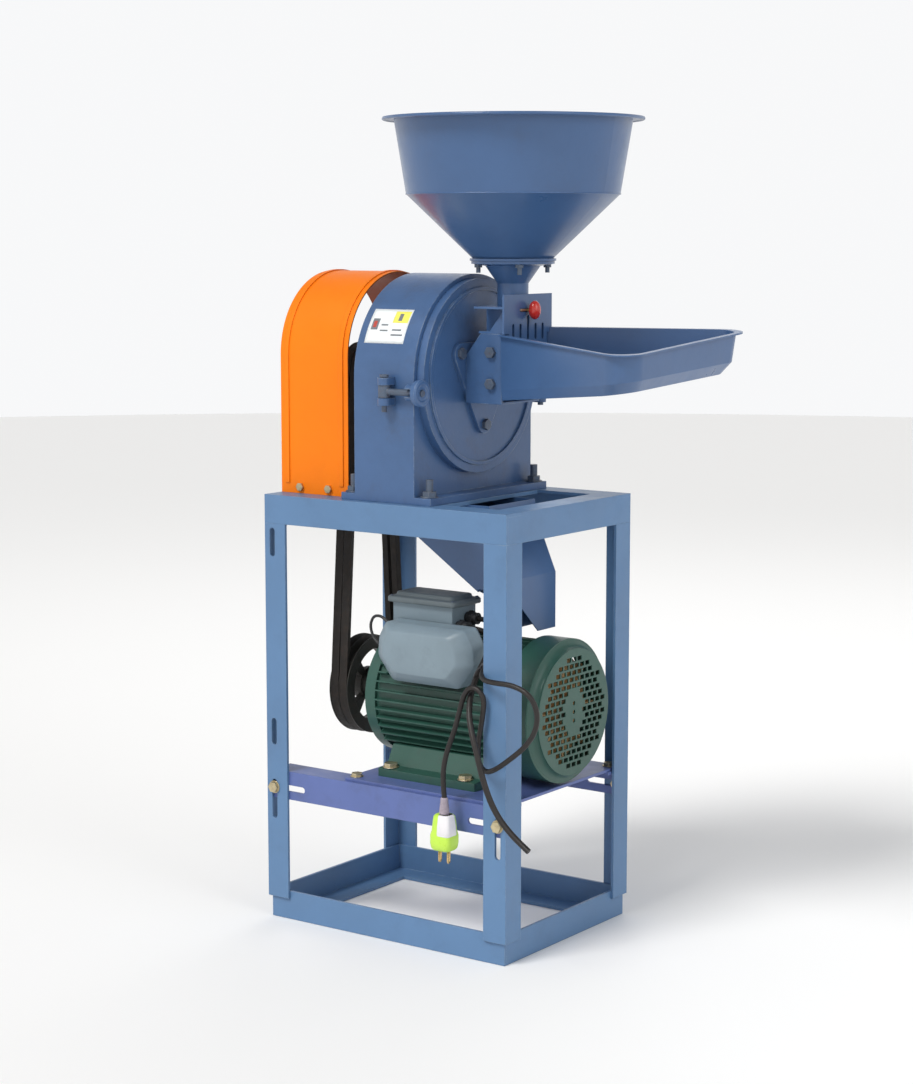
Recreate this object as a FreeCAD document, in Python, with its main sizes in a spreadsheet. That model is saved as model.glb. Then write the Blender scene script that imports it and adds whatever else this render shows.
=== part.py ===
import FreeCAD, Part
import Sketcher
import math
import operator
import os
import re

from FreeCAD import Placement, Rotation, Vector

# Hammer mill on a welded angle-iron stand, with its motor below.
# The origin is the middle of the stand's footprint on the floor.
# +X points along the mill shaft towards the door, +Y is the back, +Z is up.  Millimetres.

SIZES = {
    # stand
    "stand_length": 406, "stand_depth": 303, "stand_height": 600,
    "angle_width": 40, "leg_width": 36, "angle_wall": 4,
    "leg_foot_height": 30, "slot_width": 9,
    # mill
    "mill_axis_height": 765, "casing_back": -55, "casing_front": 45,
    "casing_half_width": 138, "casing_wall": 8, "foot_height": 10,
    "foot_front": 72, "door_radius": 132, "door_thickness": 12,
    "door_mouth_radius": 122, "feed_hole_radius": 30,
    # rotor
    "shaft_radius": 15, "rotor_radius": 104, "rotor_disc_thickness": 10,
    "outer_hammer_circle": 94, "inner_hammer_circle": 68, "hammer_reach": 38,
    "sieve_radius": 118, "sieve_wall": 1.5,
    # belt drive
    "drive_start": -156, "drive_width": 32, "mill_pulley_radius": 40,
    "motor_pulley_radius": 70, "belt_width": 12, "belt_depth": 8,
    # motor
    "motor_axis_height": 318, "motor_body_radius": 82, "fin_height": 10,
    "motor_start": -62, "motor_end": 150, "fan_cover_radius": 98.5,
    "fan_cover_end": 210, "motor_bed_height": 212, "motor_plate_thickness": 4,
    "motor_shaft_radius": 12,
    # feed side
    "feed_axis": 108, "feed_box_start": 75, "feed_box_end": 133,
    "feed_box_half_width": 57, "feed_box_top": 877, "feed_shelf_top": 861, "duct_half_width": 45,
    "duct_floor": 731, "duct_roof": 825, "duct_end": 121, "plate_wall": 3,
    # hopper
    "hopper_rim_height": 1110, "hopper_rim_radius": 174, "hopper_drum_radius": 159,
    "hopper_fold_radius": 143, "hopper_fold_height": 1009, "hopper_neck_height": 925,
    "hopper_neck_radius": 54, "hopper_flange_radius": 58, "hopper_wall": 1.5,
    # belt guard
    "guard_start": -202, "guard_end": -84, "guard_radius": 115, "guard_axis_height": 790,
    "guard_wall": 2,
    # cords
    "supply_cord_diameter": 7, "lead_cord_diameter": 8,
}

doc = FreeCAD.newDocument("HammerMill")
sheet = doc.addObject("Spreadsheet::Sheet", "sizes")
for row, (alias, number) in enumerate(SIZES.items(), start=1):
    sheet.set(f"A{row}", alias)
    sheet.set(f"B{row}", str(number))
    sheet.setAlias(f"B{row}", alias)
doc.recompute()


class Size:
    """A number together with the sheet expression that gives it."""

    def __init__(self, number, text):
        self.number = number
        self.text = text

    def joined(self, sign, other, work, swap=False):
        first, second = (as_size(other), self) if swap else (self, as_size(other))
        return Size(work(first.number, second.number), f"({first.text} {sign} {second.text})")

    def __add__(self, other):
        return self.joined("+", other, operator.add)

    def __radd__(self, other):
        return self.joined("+", other, operator.add, swap=True)

    def __sub__(self, other):
        return self.joined("-", other, operator.sub)

    def __rsub__(self, other):
        return self.joined("-", other, operator.sub, swap=True)

    def __mul__(self, other):
        return self.joined("*", other, operator.mul)

    def __rmul__(self, other):
        return self.joined("*", other, operator.mul, swap=True)

    def __truediv__(self, other):
        return self.joined("/", other, operator.truediv)

    def __neg__(self):
        return self * -1

    def __float__(self):
        return float(self.number)


def as_size(value):
    return value if isinstance(value, Size) else Size(float(value), f"({float(value)!r})")


def size(alias):
    return Size(float(sheet.get(alias)), f"sizes.{alias}")


def bind(item, path, value):
    item.setExpression(path, as_size(value).text)


# ---------------------------------------------------------------- building helpers

SUB_PARTS = []
TURNS = {"x": Rotation(Vector(0, 0, 1), Vector(1, 0, 0)),
         "y": Rotation(Vector(0, 0, 1), Vector(0, 1, 0)),
         "z": Rotation()}


def tidy_name(label):
    return re.sub(r"\W", "_", label)


def keep(item, label):
    """Make an object one of the assembly's pieces, named by its label."""
    item.Label = label
    SUB_PARTS.append(item)
    return item


def move_to(item, place):
    for axis, value in zip("xyz", place):
        bind(item, f"Placement.Base.{axis}", value)


def box(low, high, name="block"):
    item = doc.addObject("Part::Box", name)
    for side, start, end in zip(("Length", "Width", "Height"), low, high):
        bind(item, side, end - start)
    move_to(item, low)
    return item


def rod(start, axis, radius, length, name="rod"):
    item = doc.addObject("Part::Cylinder", name)
    bind(item, "Radius", radius)
    bind(item, "Height", length)
    item.Placement = Placement(Vector(), TURNS[axis])
    move_to(item, start)
    return item


def cone(start, axis, low_radius, high_radius, length, name="cone"):
    item = doc.addObject("Part::Cone", name)
    bind(item, "Radius1", low_radius)
    bind(item, "Radius2", high_radius)
    bind(item, "Height", length)
    item.Placement = Placement(Vector(), TURNS[axis])
    move_to(item, start)
    return item


def hexagon(start, axis, across_flats, length, name="hexagon"):
    item = doc.addObject("Part::Prism", name)
    item.Polygon = 6
    bind(item, "Circumradius", across_flats / math.sqrt(3))
    bind(item, "Height", length)
    item.Placement = Placement(Vector(), TURNS[axis])
    move_to(item, start)
    return item


def fused(items, name="fusion"):
    item = doc.addObject("Part::MultiFuse", name)
    item.Shapes = items
    return item


def cut(base, tools, name="cut"):
    item = doc.addObject("Part::Cut", name)
    item.Base = base
    item.Tool = tools[0] if len(tools) == 1 else fused(tools)
    return item


def gathered(items, label):
    """Identical loose pieces that share one node, as separate solids."""
    item = doc.addObject("Part::Compound", tidy_name(label))
    item.Links = items
    return keep(item, label)


def featured(shape, label):
    item = doc.addObject("Part::Feature", tidy_name(label))
    item.Shape = shape
    return keep(item, label)


def origin_plane(body, role):
    return next(feature for feature in body.Origin.OriginFeatures if feature.Role == role)


def add_loop(sketch, loop):
    """Draw one closed loop of (u, v) corners, each fixed by its two distances from the origin.

    A corner with a third entry starts an arc of that radius: positive bulges to the right.
    """
    if loop[0] == "circle":
        centre_u, centre_v, radius = loop[1:]
        circle = Part.Circle(Vector(float(centre_u), float(centre_v), 0), Vector(0, 0, 1), float(radius))
        index = sketch.addGeometry(circle)
        fix(sketch, "DistanceX", index, 3, centre_u)
        fix(sketch, "DistanceY", index, 3, centre_v)
        number = sketch.addConstraint(Sketcher.Constraint("Radius", index, float(radius)))
        bind(sketch, f"Constraints[{number}]", radius)
        return
    first = sketch.GeometryCount
    count = len(loop)
    ends = []
    centres = {}
    for place, corner in enumerate(loop):
        after = loop[(place + 1) % count]
        start = Vector(float(corner[0]), float(corner[1]), 0)
        end = Vector(float(after[0]), float(after[1]), 0)
        if len(corner) == 2:
            sketch.addGeometry(Part.LineSegment(start, end))
            ends.append((1, 2))
        else:
            radius = float(corner[2])
            chord = end - start
            reach = math.sqrt(max(radius ** 2 - (chord.Length / 2) ** 2, 0))
            side = Vector(chord.y, -chord.x, 0).normalize() * math.copysign(1, radius)
            middle = (start + end) * 0.5 - side * reach
            crown = middle + side * abs(radius)
            level = abs(chord.x) >= abs(chord.y)
            centres[place] = (middle.x - start.x, middle.y - start.y, level)
            rightward = radius > 0
            first_end, last_end = (start, end) if rightward else (end, start)
            sketch.addGeometry(Part.Arc(first_end, crown, last_end))
            ends.append((1, 2) if rightward else (2, 1))
    for place, corner in enumerate(loop):
        before = (place - 1) % count
        sketch.addConstraint(Sketcher.Constraint(
            "Coincident", first + before, ends[before][1], first + place, ends[place][0]))
        fix(sketch, "DistanceX", first + place, ends[place][0], corner[0])
        fix(sketch, "DistanceY", first + place, ends[place][0], corner[1])
        if place in centres:
            kind, side = ("DistanceY", 1) if centres[place][2] else ("DistanceX", 0)
            fix(sketch, kind, first + place, 3, corner[side] + centres[place][side])


def fix(sketch, kind, index, point, value):
    number = sketch.addConstraint(Sketcher.Constraint(kind, -1, 1, index, point, float(value)))
    bind(sketch, f"Constraints[{number}]", value)


def new_body(label):
    return doc.addObject("PartDesign::Body", tidy_name(label))


def drawing(body, role, offset, loops):
    """A sketch on one of the body's origin planes, moved along the plane's normal."""
    sketch = body.newObject("Sketcher::SketchObject", "outline")
    sketch.AttachmentSupport = (origin_plane(body, role), [""])
    sketch.MapMode = "FlatFace"
    bind(sketch, "AttachmentOffset.Base.z", offset)
    for loop in loops:
        add_loop(sketch, loop)
    return sketch


def spread(role, start, end):
    """The offset and the length that make a pad reach from start to end along the axis."""
    return (-end if role == "XZ_Plane" else start), end - start


def pad(body, role, start, end, loops):
    offset, length = spread(role, start, end)
    feature = body.newObject("PartDesign::Pad", "pad")
    feature.Profile = drawing(body, role, offset, loops)
    bind(feature, "Length", length)
    body.Tip = feature
    return feature


def pocket(body, role, start, end, loops):
    """A pocket along the axis between two places; its volume is checked further down."""
    offset, length = spread(role, start, end)
    doc.recompute()
    before = body.Shape.Volume
    feature = body.newObject("PartDesign::Pocket", "pocket")
    feature.Profile = drawing(body, role, offset, loops)
    bind(feature, "Length", length)
    feature.Reversed = True
    body.Tip = feature
    doc.recompute()
    if body.Shape.Volume >= before - 1:
        raise RuntimeError(f"a pocket in {body.Name} cuts nothing")
    return feature


def body_loft(body, role, stations):
    sections = [drawing(body, role, -place if role == "XZ_Plane" else place, [list(reversed(outline))])
                for place, outline in stations]
    feature = body.newObject("PartDesign::AdditiveLoft", "loft")
    feature.Profile = sections[0]
    feature.Sections = sections[1:]
    feature.Ruled = True
    return feature


def turned(label, centre, axis, outline, kept=True):
    """A solid of revolution about a line through centre: corners are (along the line, radius)."""
    body = new_body(label)
    loop = outline if axis == "x" else [(corner[1], corner[0]) + tuple(corner[2:]) for corner in outline]
    sketch = drawing(body, "XZ_Plane", 0, [loop])
    feature = body.newObject("PartDesign::Revolution", "turned")
    feature.Profile = sketch
    feature.ReferenceAxis = (sketch, ["H_Axis" if axis == "x" else "V_Axis"])
    feature.Angle = 360
    body.Tip = feature
    move_to(body, centre)
    return keep(body, label) if kept else body


def around(body, feature, count, role="X_Axis"):
    pattern = body.newObject("PartDesign::PolarPattern", "ring")
    pattern.Originals = [feature]
    pattern.Axis = (origin_plane(body, role), [""])
    pattern.Angle = 360
    pattern.Occurrences = count
    body.Tip = pattern
    return pattern


def bolt(place, axis, direction, thread, head=None, grip=6, name="bolt"):
    """A hex bolt: head on the side that direction points to, shank going the other way."""
    across = 1.7 * thread if head is None else head
    head_height = 0.65 * thread
    index = "xyz".index(axis)
    head_start = list(place)
    shank_start = list(place)
    if direction < 0:
        head_start[index] = place[index] - head_height
    else:
        shank_start[index] = place[index] - grip
    return fused([hexagon(head_start, axis, across, head_height),
                  rod(shank_start, axis, thread / 2, grip)], name)


# ---------------------------------------------------------------- stand

half_length = size("stand_length") / 2
half_depth = size("stand_depth") / 2
top = size("stand_height")
angle = size("angle_width")
wall = size("angle_wall")
leg = size("leg_width")
leg_x = half_length
leg_y = half_depth
base_x = leg_x - wall
base_y = leg_y - wall


def angle_outline(u, v, width, side_u, side_v):
    """An L with its outer corner at (u, v) and its legs towards side_u and side_v."""
    far_u = u + side_u * width
    far_v = v + side_v * width
    near_u = u + side_u * wall
    near_v = v + side_v * wall
    return [(u, v), (far_u, v), (far_u, near_v), (near_u, near_v), (near_u, far_v), (u, far_v)]


mill_bar_places = ((-78, -48), (45, 75))
bar_thickness = 5


def make_base_and_top():
    """The floor frame and the top frame: four rails each, coped where they meet."""
    rails = {"base": [], "top": []}
    for level, tip, side_v, x_reach, y_reach in (("base", 0, 1, base_x, base_y),
                                                 ("top", top, -1, half_length, half_depth)):
        for word, side in (("front", -1), ("back", 1)):
            body = new_body(f"{level}_rail_{word}")
            pad(body, "YZ_Plane", -x_reach, x_reach,
                [angle_outline(side * y_reach, tip, angle, -side, side_v)])
            rails[level].append(body)
        for word, side in (("left", -1), ("right", 1)):
            body = new_body(f"{level}_rail_{word}")
            pad(body, "XZ_Plane", -(y_reach - wall), y_reach - wall,
                [angle_outline(side * x_reach, tip, angle, -side, side_v)])
            cope_low, cope_high = (-1, wall) if level == "base" else (top - wall, top + 1)
            inner = x_reach - angle - 1
            for end in (-1, 1):
                edge = [end * (y_reach - angle), end * (y_reach - wall + 1)]
                across = [side * inner, side * (x_reach + 1)]
                corners = [(across[0], edge[0]), (across[1], edge[0]),
                           (across[1], edge[1]), (across[0], edge[1])]
                pocket(body, "XY_Plane", cope_low, cope_high, [corners])
            rails[level].append(body)
    reach = half_depth - angle
    for low, high in mill_bar_places:
        rails["top"].append(box((low, -reach, top - bar_thickness), (high, reach, top), "mill_bar"))
    gathered(rails["base"], "base_frame")
    gathered(rails["top"], "top_frame")


def slot_loop(middle_u, middle_v, length, width, upright):
    """A round-ended slot."""
    end = width / 2
    run = length / 2 - end
    if upright:
        return [(middle_u - end, middle_v + run, -end), (middle_u + end, middle_v + run),
                (middle_u + end, middle_v - run, -end), (middle_u - end, middle_v - run)]
    return [(middle_u - run, middle_v - end), (middle_u + run, middle_v - end, end),
            (middle_u + run, middle_v + end), (middle_u - run, middle_v + end, end)]


leg_slots = ((534, 40), (267, 38), (171, 56))


def make_legs():
    """Four angle legs, slotted for the motor bed."""
    slot = size("slot_width")
    legs = []
    for word_y, side_y in (("front", -1), ("back", 1)):
        for word_x, side_x in (("left", -1), ("right", 1)):
            label = f"leg_{word_y}_{word_x}"
            body = new_body(label)
            pad(body, "XY_Plane", size("leg_foot_height"), top - angle,
                [angle_outline(side_x * leg_x, side_y * leg_y, leg, -side_x, -side_y)])
            faces = sorted((side_y * (leg_y + 1), side_y * (leg_y - wall - 1)), key=float)
            middle = side_x * (leg_x - 13)
            cuts = leg_slots[-1:] if side_x > 0 else leg_slots
            pocket(body, "XZ_Plane", faces[0], faces[1],
                   [slot_loop(middle, height, length, slot, True) for height, length in cuts])
            legs.append(body)
    gathered(legs, "legs")


rail_y = leg_y - wall
bed = size("motor_bed_height")
rail_slots_x = (-167, 167)
rail_slot_length = 56
bolt_level = bed - 24
motor_plate = {"low_x": -72, "high_x": 196}
plate_top = bed + size("motor_plate_thickness")


def make_motor_rails():
    """Two slotted rails, the plate that the motor stands on, and their bolts."""
    rails = []
    for word, side in (("front", -1), ("back", 1)):
        body = new_body(f"motor_rail_{word}")
        pad(body, "YZ_Plane", -leg_x + wall + 1, leg_x - wall - 1,
            [angle_outline(side * rail_y, bed, angle, -side, -1)])
        faces = sorted((side * (rail_y + 1), side * (rail_y - wall - 1)), key=float)
        pocket(body, "XZ_Plane", faces[0], faces[1],
               [slot_loop(place, bolt_level, rail_slot_length, size("slot_width"), False)
                for place in rail_slots_x])
        rails.append(body)
    gathered(rails, "motor_rails")
    keep(box((motor_plate["low_x"], -(rail_y - wall - 2), bed),
             (motor_plate["high_x"], rail_y - wall - 2, plate_top)), "motor_plate")
    bolts = []
    for side in (-1, 1):
        for place in (-190, 190):
            outside = side * leg_y
            bolts.append(bolt((place, outside, bolt_level), "y", side, 8, grip=12))
            nut_face = side * (rail_y - wall)
            nut_start = nut_face if side < 0 else nut_face - 6
            bolts.append(hexagon((place, nut_start, bolt_level), "y", 13, 6))
    bolts += [bolt((place, side * 128, plate_top), "z", 1, 8, grip=7.9)
              for side in (-1, 1) for place in (-62, 186)]
    gathered(bolts, "rail_bolts")


# ---------------------------------------------------------------- mill casing

axis_height = size("mill_axis_height")
case_back = size("casing_back")
case_front = size("casing_front")
case_half = size("casing_half_width")
case_wall = size("casing_wall")
foot_top = top + size("foot_height")
foot_back = -78
outlet_low_x, outlet_high_x, outlet_half = -28, 36, 52
hinge_x = case_front + 7
hinge_y = 152


def arch(half_width, bottom):
    """A round-topped outline in (Y, Z) about the mill's axis."""
    return [(-half_width, bottom), (half_width, bottom), (half_width, axis_height, half_width),
            (-half_width, axis_height)]


def make_casing():
    """The round-topped casing with its open mouth, the shaft bearings and the sieve."""
    body = new_body("mill_casing")
    pad(body, "YZ_Plane", case_back, case_front, [arch(case_half, top)])
    foot_front = size("foot_front")
    pad(body, "XY_Plane", top, foot_top,
        [[(foot_back, -case_half), (foot_front, -case_half),
          (foot_front, case_half), (foot_back, case_half)]])
    pocket(body, "YZ_Plane", case_back + case_wall, case_front - case_wall,
           [arch(case_half - case_wall, foot_top)])
    pocket(body, "XY_Plane", top - 1, foot_top + 1,
           [[(outlet_low_x, -outlet_half), (outlet_high_x, -outlet_half),
             (outlet_high_x, outlet_half), (outlet_low_x, outlet_half)]])
    pocket(body, "YZ_Plane", case_front - case_wall - 1, case_front + 1,
           [("circle", 0, axis_height, size("door_mouth_radius"))])
    pocket(body, "YZ_Plane", case_back - 1, case_back + case_wall + 1,
           [("circle", 0, axis_height, 30.0)])
    keep(body, "mill_casing")

    housing_start = case_back - 26
    turned("bearing_housing", (housing_start, 0, axis_height), "x",
           [(0, 24), (26, 24), (26, 56), (18, 56), (18, 42), (0, 38)])
    rings = []
    for start in (housing_start + 3, housing_start + 15):
        outer = rod((start, 0, axis_height), "x", 24, 9)
        inner = rod((start - 1, 0, axis_height), "x", size("shaft_radius") + 0.05, 11)
        rings.append(cut(outer, [inner]))
    gathered(rings, "shaft_bearings")

    sieve = size("sieve_radius")
    turned("sieve_ring", (case_back + case_wall + 1, 0, axis_height), "x",
           [(0, sieve - size("sieve_wall")), (82, sieve - size("sieve_wall")), (82, sieve), (0, sieve)])


def make_casing_lugs():
    """Hinge lugs at the back and the pins of the hinge and the clamp."""
    lugs = []
    round_top = rod((case_back, 0, axis_height), "x", case_half, case_front - case_back, "arch_round")
    for low, inner in ((hinge_low, case_half), (hinge_high - lug_height, case_half - 8)):
        leaf = box((case_front - 18, inner, low), (case_front - 4, hinge_y, low + lug_height))
        knuckle = rod((hinge_x, hinge_y, low), "z", 8, lug_height)
        arm = box((case_front - 18, hinge_y - 8, low), (hinge_x, hinge_y + 8, low + lug_height))
        bore = rod((hinge_x, hinge_y, low - 1), "z", 4.05, lug_height + 2)
        lugs.append(cut(fused([leaf, knuckle, arm]), [bore, round_top]))
    gathered(lugs, "hinge_lugs")
    pin_length = hinge_high - hinge_low + 8
    shank = rod((hinge_x, hinge_y, hinge_low - 4), "z", 4, pin_length)
    head = rod((hinge_x, hinge_y, hinge_high), "z", 6.5, 4)
    pivot_x, pivot_y, pivot_z = clamp_pivot
    clamp_pin = fused([rod((pivot_x, pivot_y, pivot_z - 27), "z", 3.5, 46),
                       rod((pivot_x, pivot_y, pivot_z + 19), "z", 6, 3.5)])
    gathered([fused([shank, head]), clamp_pin], "pivot_pins")


hinge_low = 720
hinge_high = 804
lug_height = 14
fixed_tooth_reach = 33
ear_height = 750
ear_radius = 11
clamp_pivot = (5, -150, ear_height)


def make_foot_studs():
    """Studs and nuts that hold the casing to its two bars."""
    studs = []
    for x_place in (60, foot_back + 11.5):
        for side in (-1, 1):
            place = (x_place, side * 124)
            studs.append(rod((place[0], place[1], foot_top), "z", 5, 24))
            studs.append(cut(hexagon((place[0], place[1], foot_top), "z", 17, 8),
                             [rod((place[0], place[1], foot_top - 1), "z", 5, 10)]))
    gathered(studs, "foot_studs")


# ---------------------------------------------------------------- rotor

drive_start = size("drive_start")
drive_width = size("drive_width")


def pulley_outline(radius, bore, rim, web, grooves=2):
    """Two belt grooves in the rim, a thin web and a hub, as (along, radius) corners."""
    depth = size("belt_depth") + 3
    half_top = size("belt_width") / 2 + 1.2
    half_floor = size("belt_width") / 2 - 1.2
    outline = [(0, radius)]
    for middle in groove_places():
        outline += [(middle - half_top, radius), (middle - half_floor, radius - depth),
                    (middle + half_floor, radius - depth), (middle + half_top, radius)]
    inner = radius - depth - rim
    hub = bore + 10
    outline += [(drive_width, radius), (drive_width, inner), (drive_width / 2 + web / 2, inner),
                (drive_width / 2 + web / 2, hub), (drive_width, hub), (drive_width, bore),
                (0, bore), (0, hub), (drive_width / 2 - web / 2, hub),
                (drive_width / 2 - web / 2, inner), (0, inner)]
    return outline


def groove_places():
    return (drive_width * 0.27, drive_width * 0.73)


def make_rotor():
    shaft = size("shaft_radius")
    disc_back = case_back + case_wall + 12
    front = 14
    turned("mill_shaft", (0, 0, axis_height), "x",
           [(drive_start - 6, 0), (front, 0), (front, 10), (disc_back, 10), (disc_back, shaft),
            (drive_start - 6, shaft)])
    disc = new_body("rotor_disc")
    thick = size("rotor_disc_thickness")
    pad(disc, "YZ_Plane", disc_back, disc_back + thick,
        [("circle", 0, 0, size("rotor_radius")), ("circle", 0, 0, 10.0)])
    pad(disc, "YZ_Plane", disc_back + thick, disc_back + thick + 12,
        [("circle", 0, 0, 24.0), ("circle", 0, 0, 10.0)])
    move_to(disc, (0, 0, axis_height))
    keep(disc, "rotor_disc")
    hammers = []
    for circle, count in (("outer_hammer_circle", 12), ("inner_hammer_circle", 8)):
        radius = size(circle)
        for number in range(count):
            turn = 2 * math.pi * number / count
            start = disc_back + thick
            hammers.append(rod((start, radius * math.cos(turn), axis_height + radius * math.sin(turn)),
                               "x", 5, size("hammer_reach") - start))
    gathered(hammers, "rotor_hammers")
    nut = cut(hexagon((disc_back + thick + 12, 0, axis_height), "x", 30, 12),
              [rod((disc_back + thick + 11, 0, axis_height), "x", 10, 14)])
    keep(nut, "rotor_nut")
    turned("mill_pulley", (drive_start, 0, axis_height), "x",
           pulley_outline(size("mill_pulley_radius"), shaft, 2, drive_width * 0.5))


# ---------------------------------------------------------------- door and feed

door_back = case_front
door_front = case_front + size("door_thickness")


def make_door():
    door = new_body("door")
    radius = size("door_radius")
    hole = size("feed_hole_radius")
    pad(door, "YZ_Plane", door_back, door_front,
        [("circle", 0, axis_height, radius), ("circle", 0, axis_height, hole)])
    pad(door, "YZ_Plane", door_front, door_front + 3,
        [("circle", 0, axis_height, radius - 11), ("circle", 0, axis_height, radius - 16)])
    # the ear for the swing bolt, with its open slot, on the side away from the hinge
    ear_y = clamp_pivot[1]
    pad(door, "YZ_Plane", door_back, door_front,
        [[(ear_y, ear_height - ear_radius), (-radius + 6, ear_height - ear_radius),
          (-radius + 6, ear_height + ear_radius), (ear_y, ear_height + ear_radius, ear_radius)]])
    pocket(door, "YZ_Plane", door_back - 1, door_front + 1,
           [[(ear_y - ear_radius - 1, ear_height - 5.2), (ear_y + 5.2, ear_height - 5.2),
             (ear_y + 5.2, ear_height + 5.2), (ear_y - ear_radius - 1, ear_height + 5.2)]])
    # the leaf to the hinge
    leaf_low, leaf_high = hinge_low + lug_height + 0.5, hinge_high - lug_height - 0.5
    pad(door, "XY_Plane", leaf_low, leaf_high,
        [[(door_back, radius - 12), (door_front, radius - 12), (door_front, hinge_y),
          (door_back, hinge_y)]])
    pad(door, "XY_Plane", leaf_low, leaf_high, [("circle", hinge_x, hinge_y, 7.5)])
    pocket(door, "XY_Plane", leaf_low - 1, leaf_high + 1, [("circle", hinge_x, hinge_y, 4.05)])
    keep(door, "door")
    teeth = []
    for circle, count, start in ((81, 10, 0.31), (55, 8, 0)):
        for number in range(count):
            turn = start + 2 * math.pi * number / count
            teeth.append(rod((fixed_tooth_reach, circle * math.cos(turn),
                              axis_height + circle * math.sin(turn)),
                             "x", 4, door_back - fixed_tooth_reach))
    gathered(teeth, "fixed_teeth")


def make_clamp():
    """A swing bolt on a pivot at the casing's front side, held in the door's ear by a round nut."""
    x_place, y_place, level = clamp_pivot
    lugs = []
    for low in (level - 18.5, level + 8.5):
        plate = box((x_place - 9, y_place, low), (x_place + 9, -case_half, low + 10))
        nose = rod((x_place, y_place, low), "z", 9, 10)
        bore = rod((x_place, y_place, low - 1), "z", 3.5, 12)
        lugs.append(cut(fused([plate, nose]), [bore]))
    gathered(lugs, "clamp_lugs")
    nut_start = door_front + 1
    eye = rod((x_place, y_place, level - 8), "z", 8, 16)
    shank = rod((x_place + 4, y_place, level), "x", 4.5, 60)
    bore = rod((x_place, y_place, level - 9), "z", 3.55, 18)
    keep(cut(fused([eye, shank]), [bore]), "swing_bolt")
    turned("hand_nut", (nut_start, y_place, level), "x",
           [(0, 4.6), (0, 8), (2, 17), (9, 18), (11, 16), (11, 12), (9, 9.5), (9, 4.6)])


def make_inlet():
    """A three-cornered flange bolted to the door, and the duct that feeds the mill's eye."""
    flange_radius = 78
    corner = 16
    flange = new_body("inlet_flange")
    start, end = door_front, door_front + 6
    loop = []
    for turn in (90 + 60, 90 - 60, -90):
        middle = (flange_radius - corner)
        direction = math.radians(turn)
        centre = (middle * math.cos(direction), middle * math.sin(direction))
        before = direction + math.radians(60)
        after = direction - math.radians(60)
        loop.append((centre[0] + corner * math.cos(before),
                     axis_height + (centre[1] + corner * math.sin(before)), -corner))
        loop.append((centre[0] + corner * math.cos(after),
                     axis_height + (centre[1] + corner * math.sin(after))))
    pad(flange, "YZ_Plane", start, end, [loop, ("circle", 0, axis_height, size("feed_hole_radius"))])
    keep(flange, "inlet_flange")
    bolts = []
    for turn in (150, 30, 270):
        direction = math.radians(turn)
        bolts.append(bolt((end, 66 * math.cos(direction), axis_height + 66 * math.sin(direction)),
                          "x", 1, 8, grip=5.9))

    half = size("duct_half_width")
    floor = size("duct_floor")
    roof = size("duct_roof")
    duct_end = size("duct_end")
    sheet_wall = size("plate_wall")
    duct = new_body("inlet_duct")
    slope_start = end + 24
    pad(duct, "XZ_Plane", -half, half,
        [[(end, floor), (duct_end, floor), (duct_end, roof), (slope_start, roof), (end, roof - 30)]])
    pocket(duct, "XZ_Plane", -half + sheet_wall, half - sheet_wall,
           [[(end + sheet_wall, floor + sheet_wall), (duct_end + 1, floor + sheet_wall),
             (duct_end + 1, roof - sheet_wall), (slope_start + 1.5, roof - sheet_wall),
             (end + sheet_wall, roof - 31.5)]])
    pocket(duct, "YZ_Plane", end - 1, end + sheet_wall + 1,
           [("circle", 0, axis_height, size("feed_hole_radius"))])
    pocket(duct, "XY_Plane", roof - sheet_wall - 1, roof + 1,
           [[(feed_x - 14, -throat_half), (duct_end - 6, -throat_half),
             (duct_end - 6, throat_half), (feed_x - 14, throat_half)]])
    keep(duct, "inlet_duct")
    bolts += [bolt((104, -half, height), "y", -1, 8, grip=2.9) for height in (800, 758)]
    gathered(bolts, "inlet_bolts")


feed_x = size("feed_axis")
throat_half = 24
apron_half = 45.5
shelf_top = size("feed_shelf_top")
slit_foot = 816
slits = ((-35, 22), (-18, 22), (0, 33), (18, 22), (35, 22))
gate_half = 19
gate_thickness = 3


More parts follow.
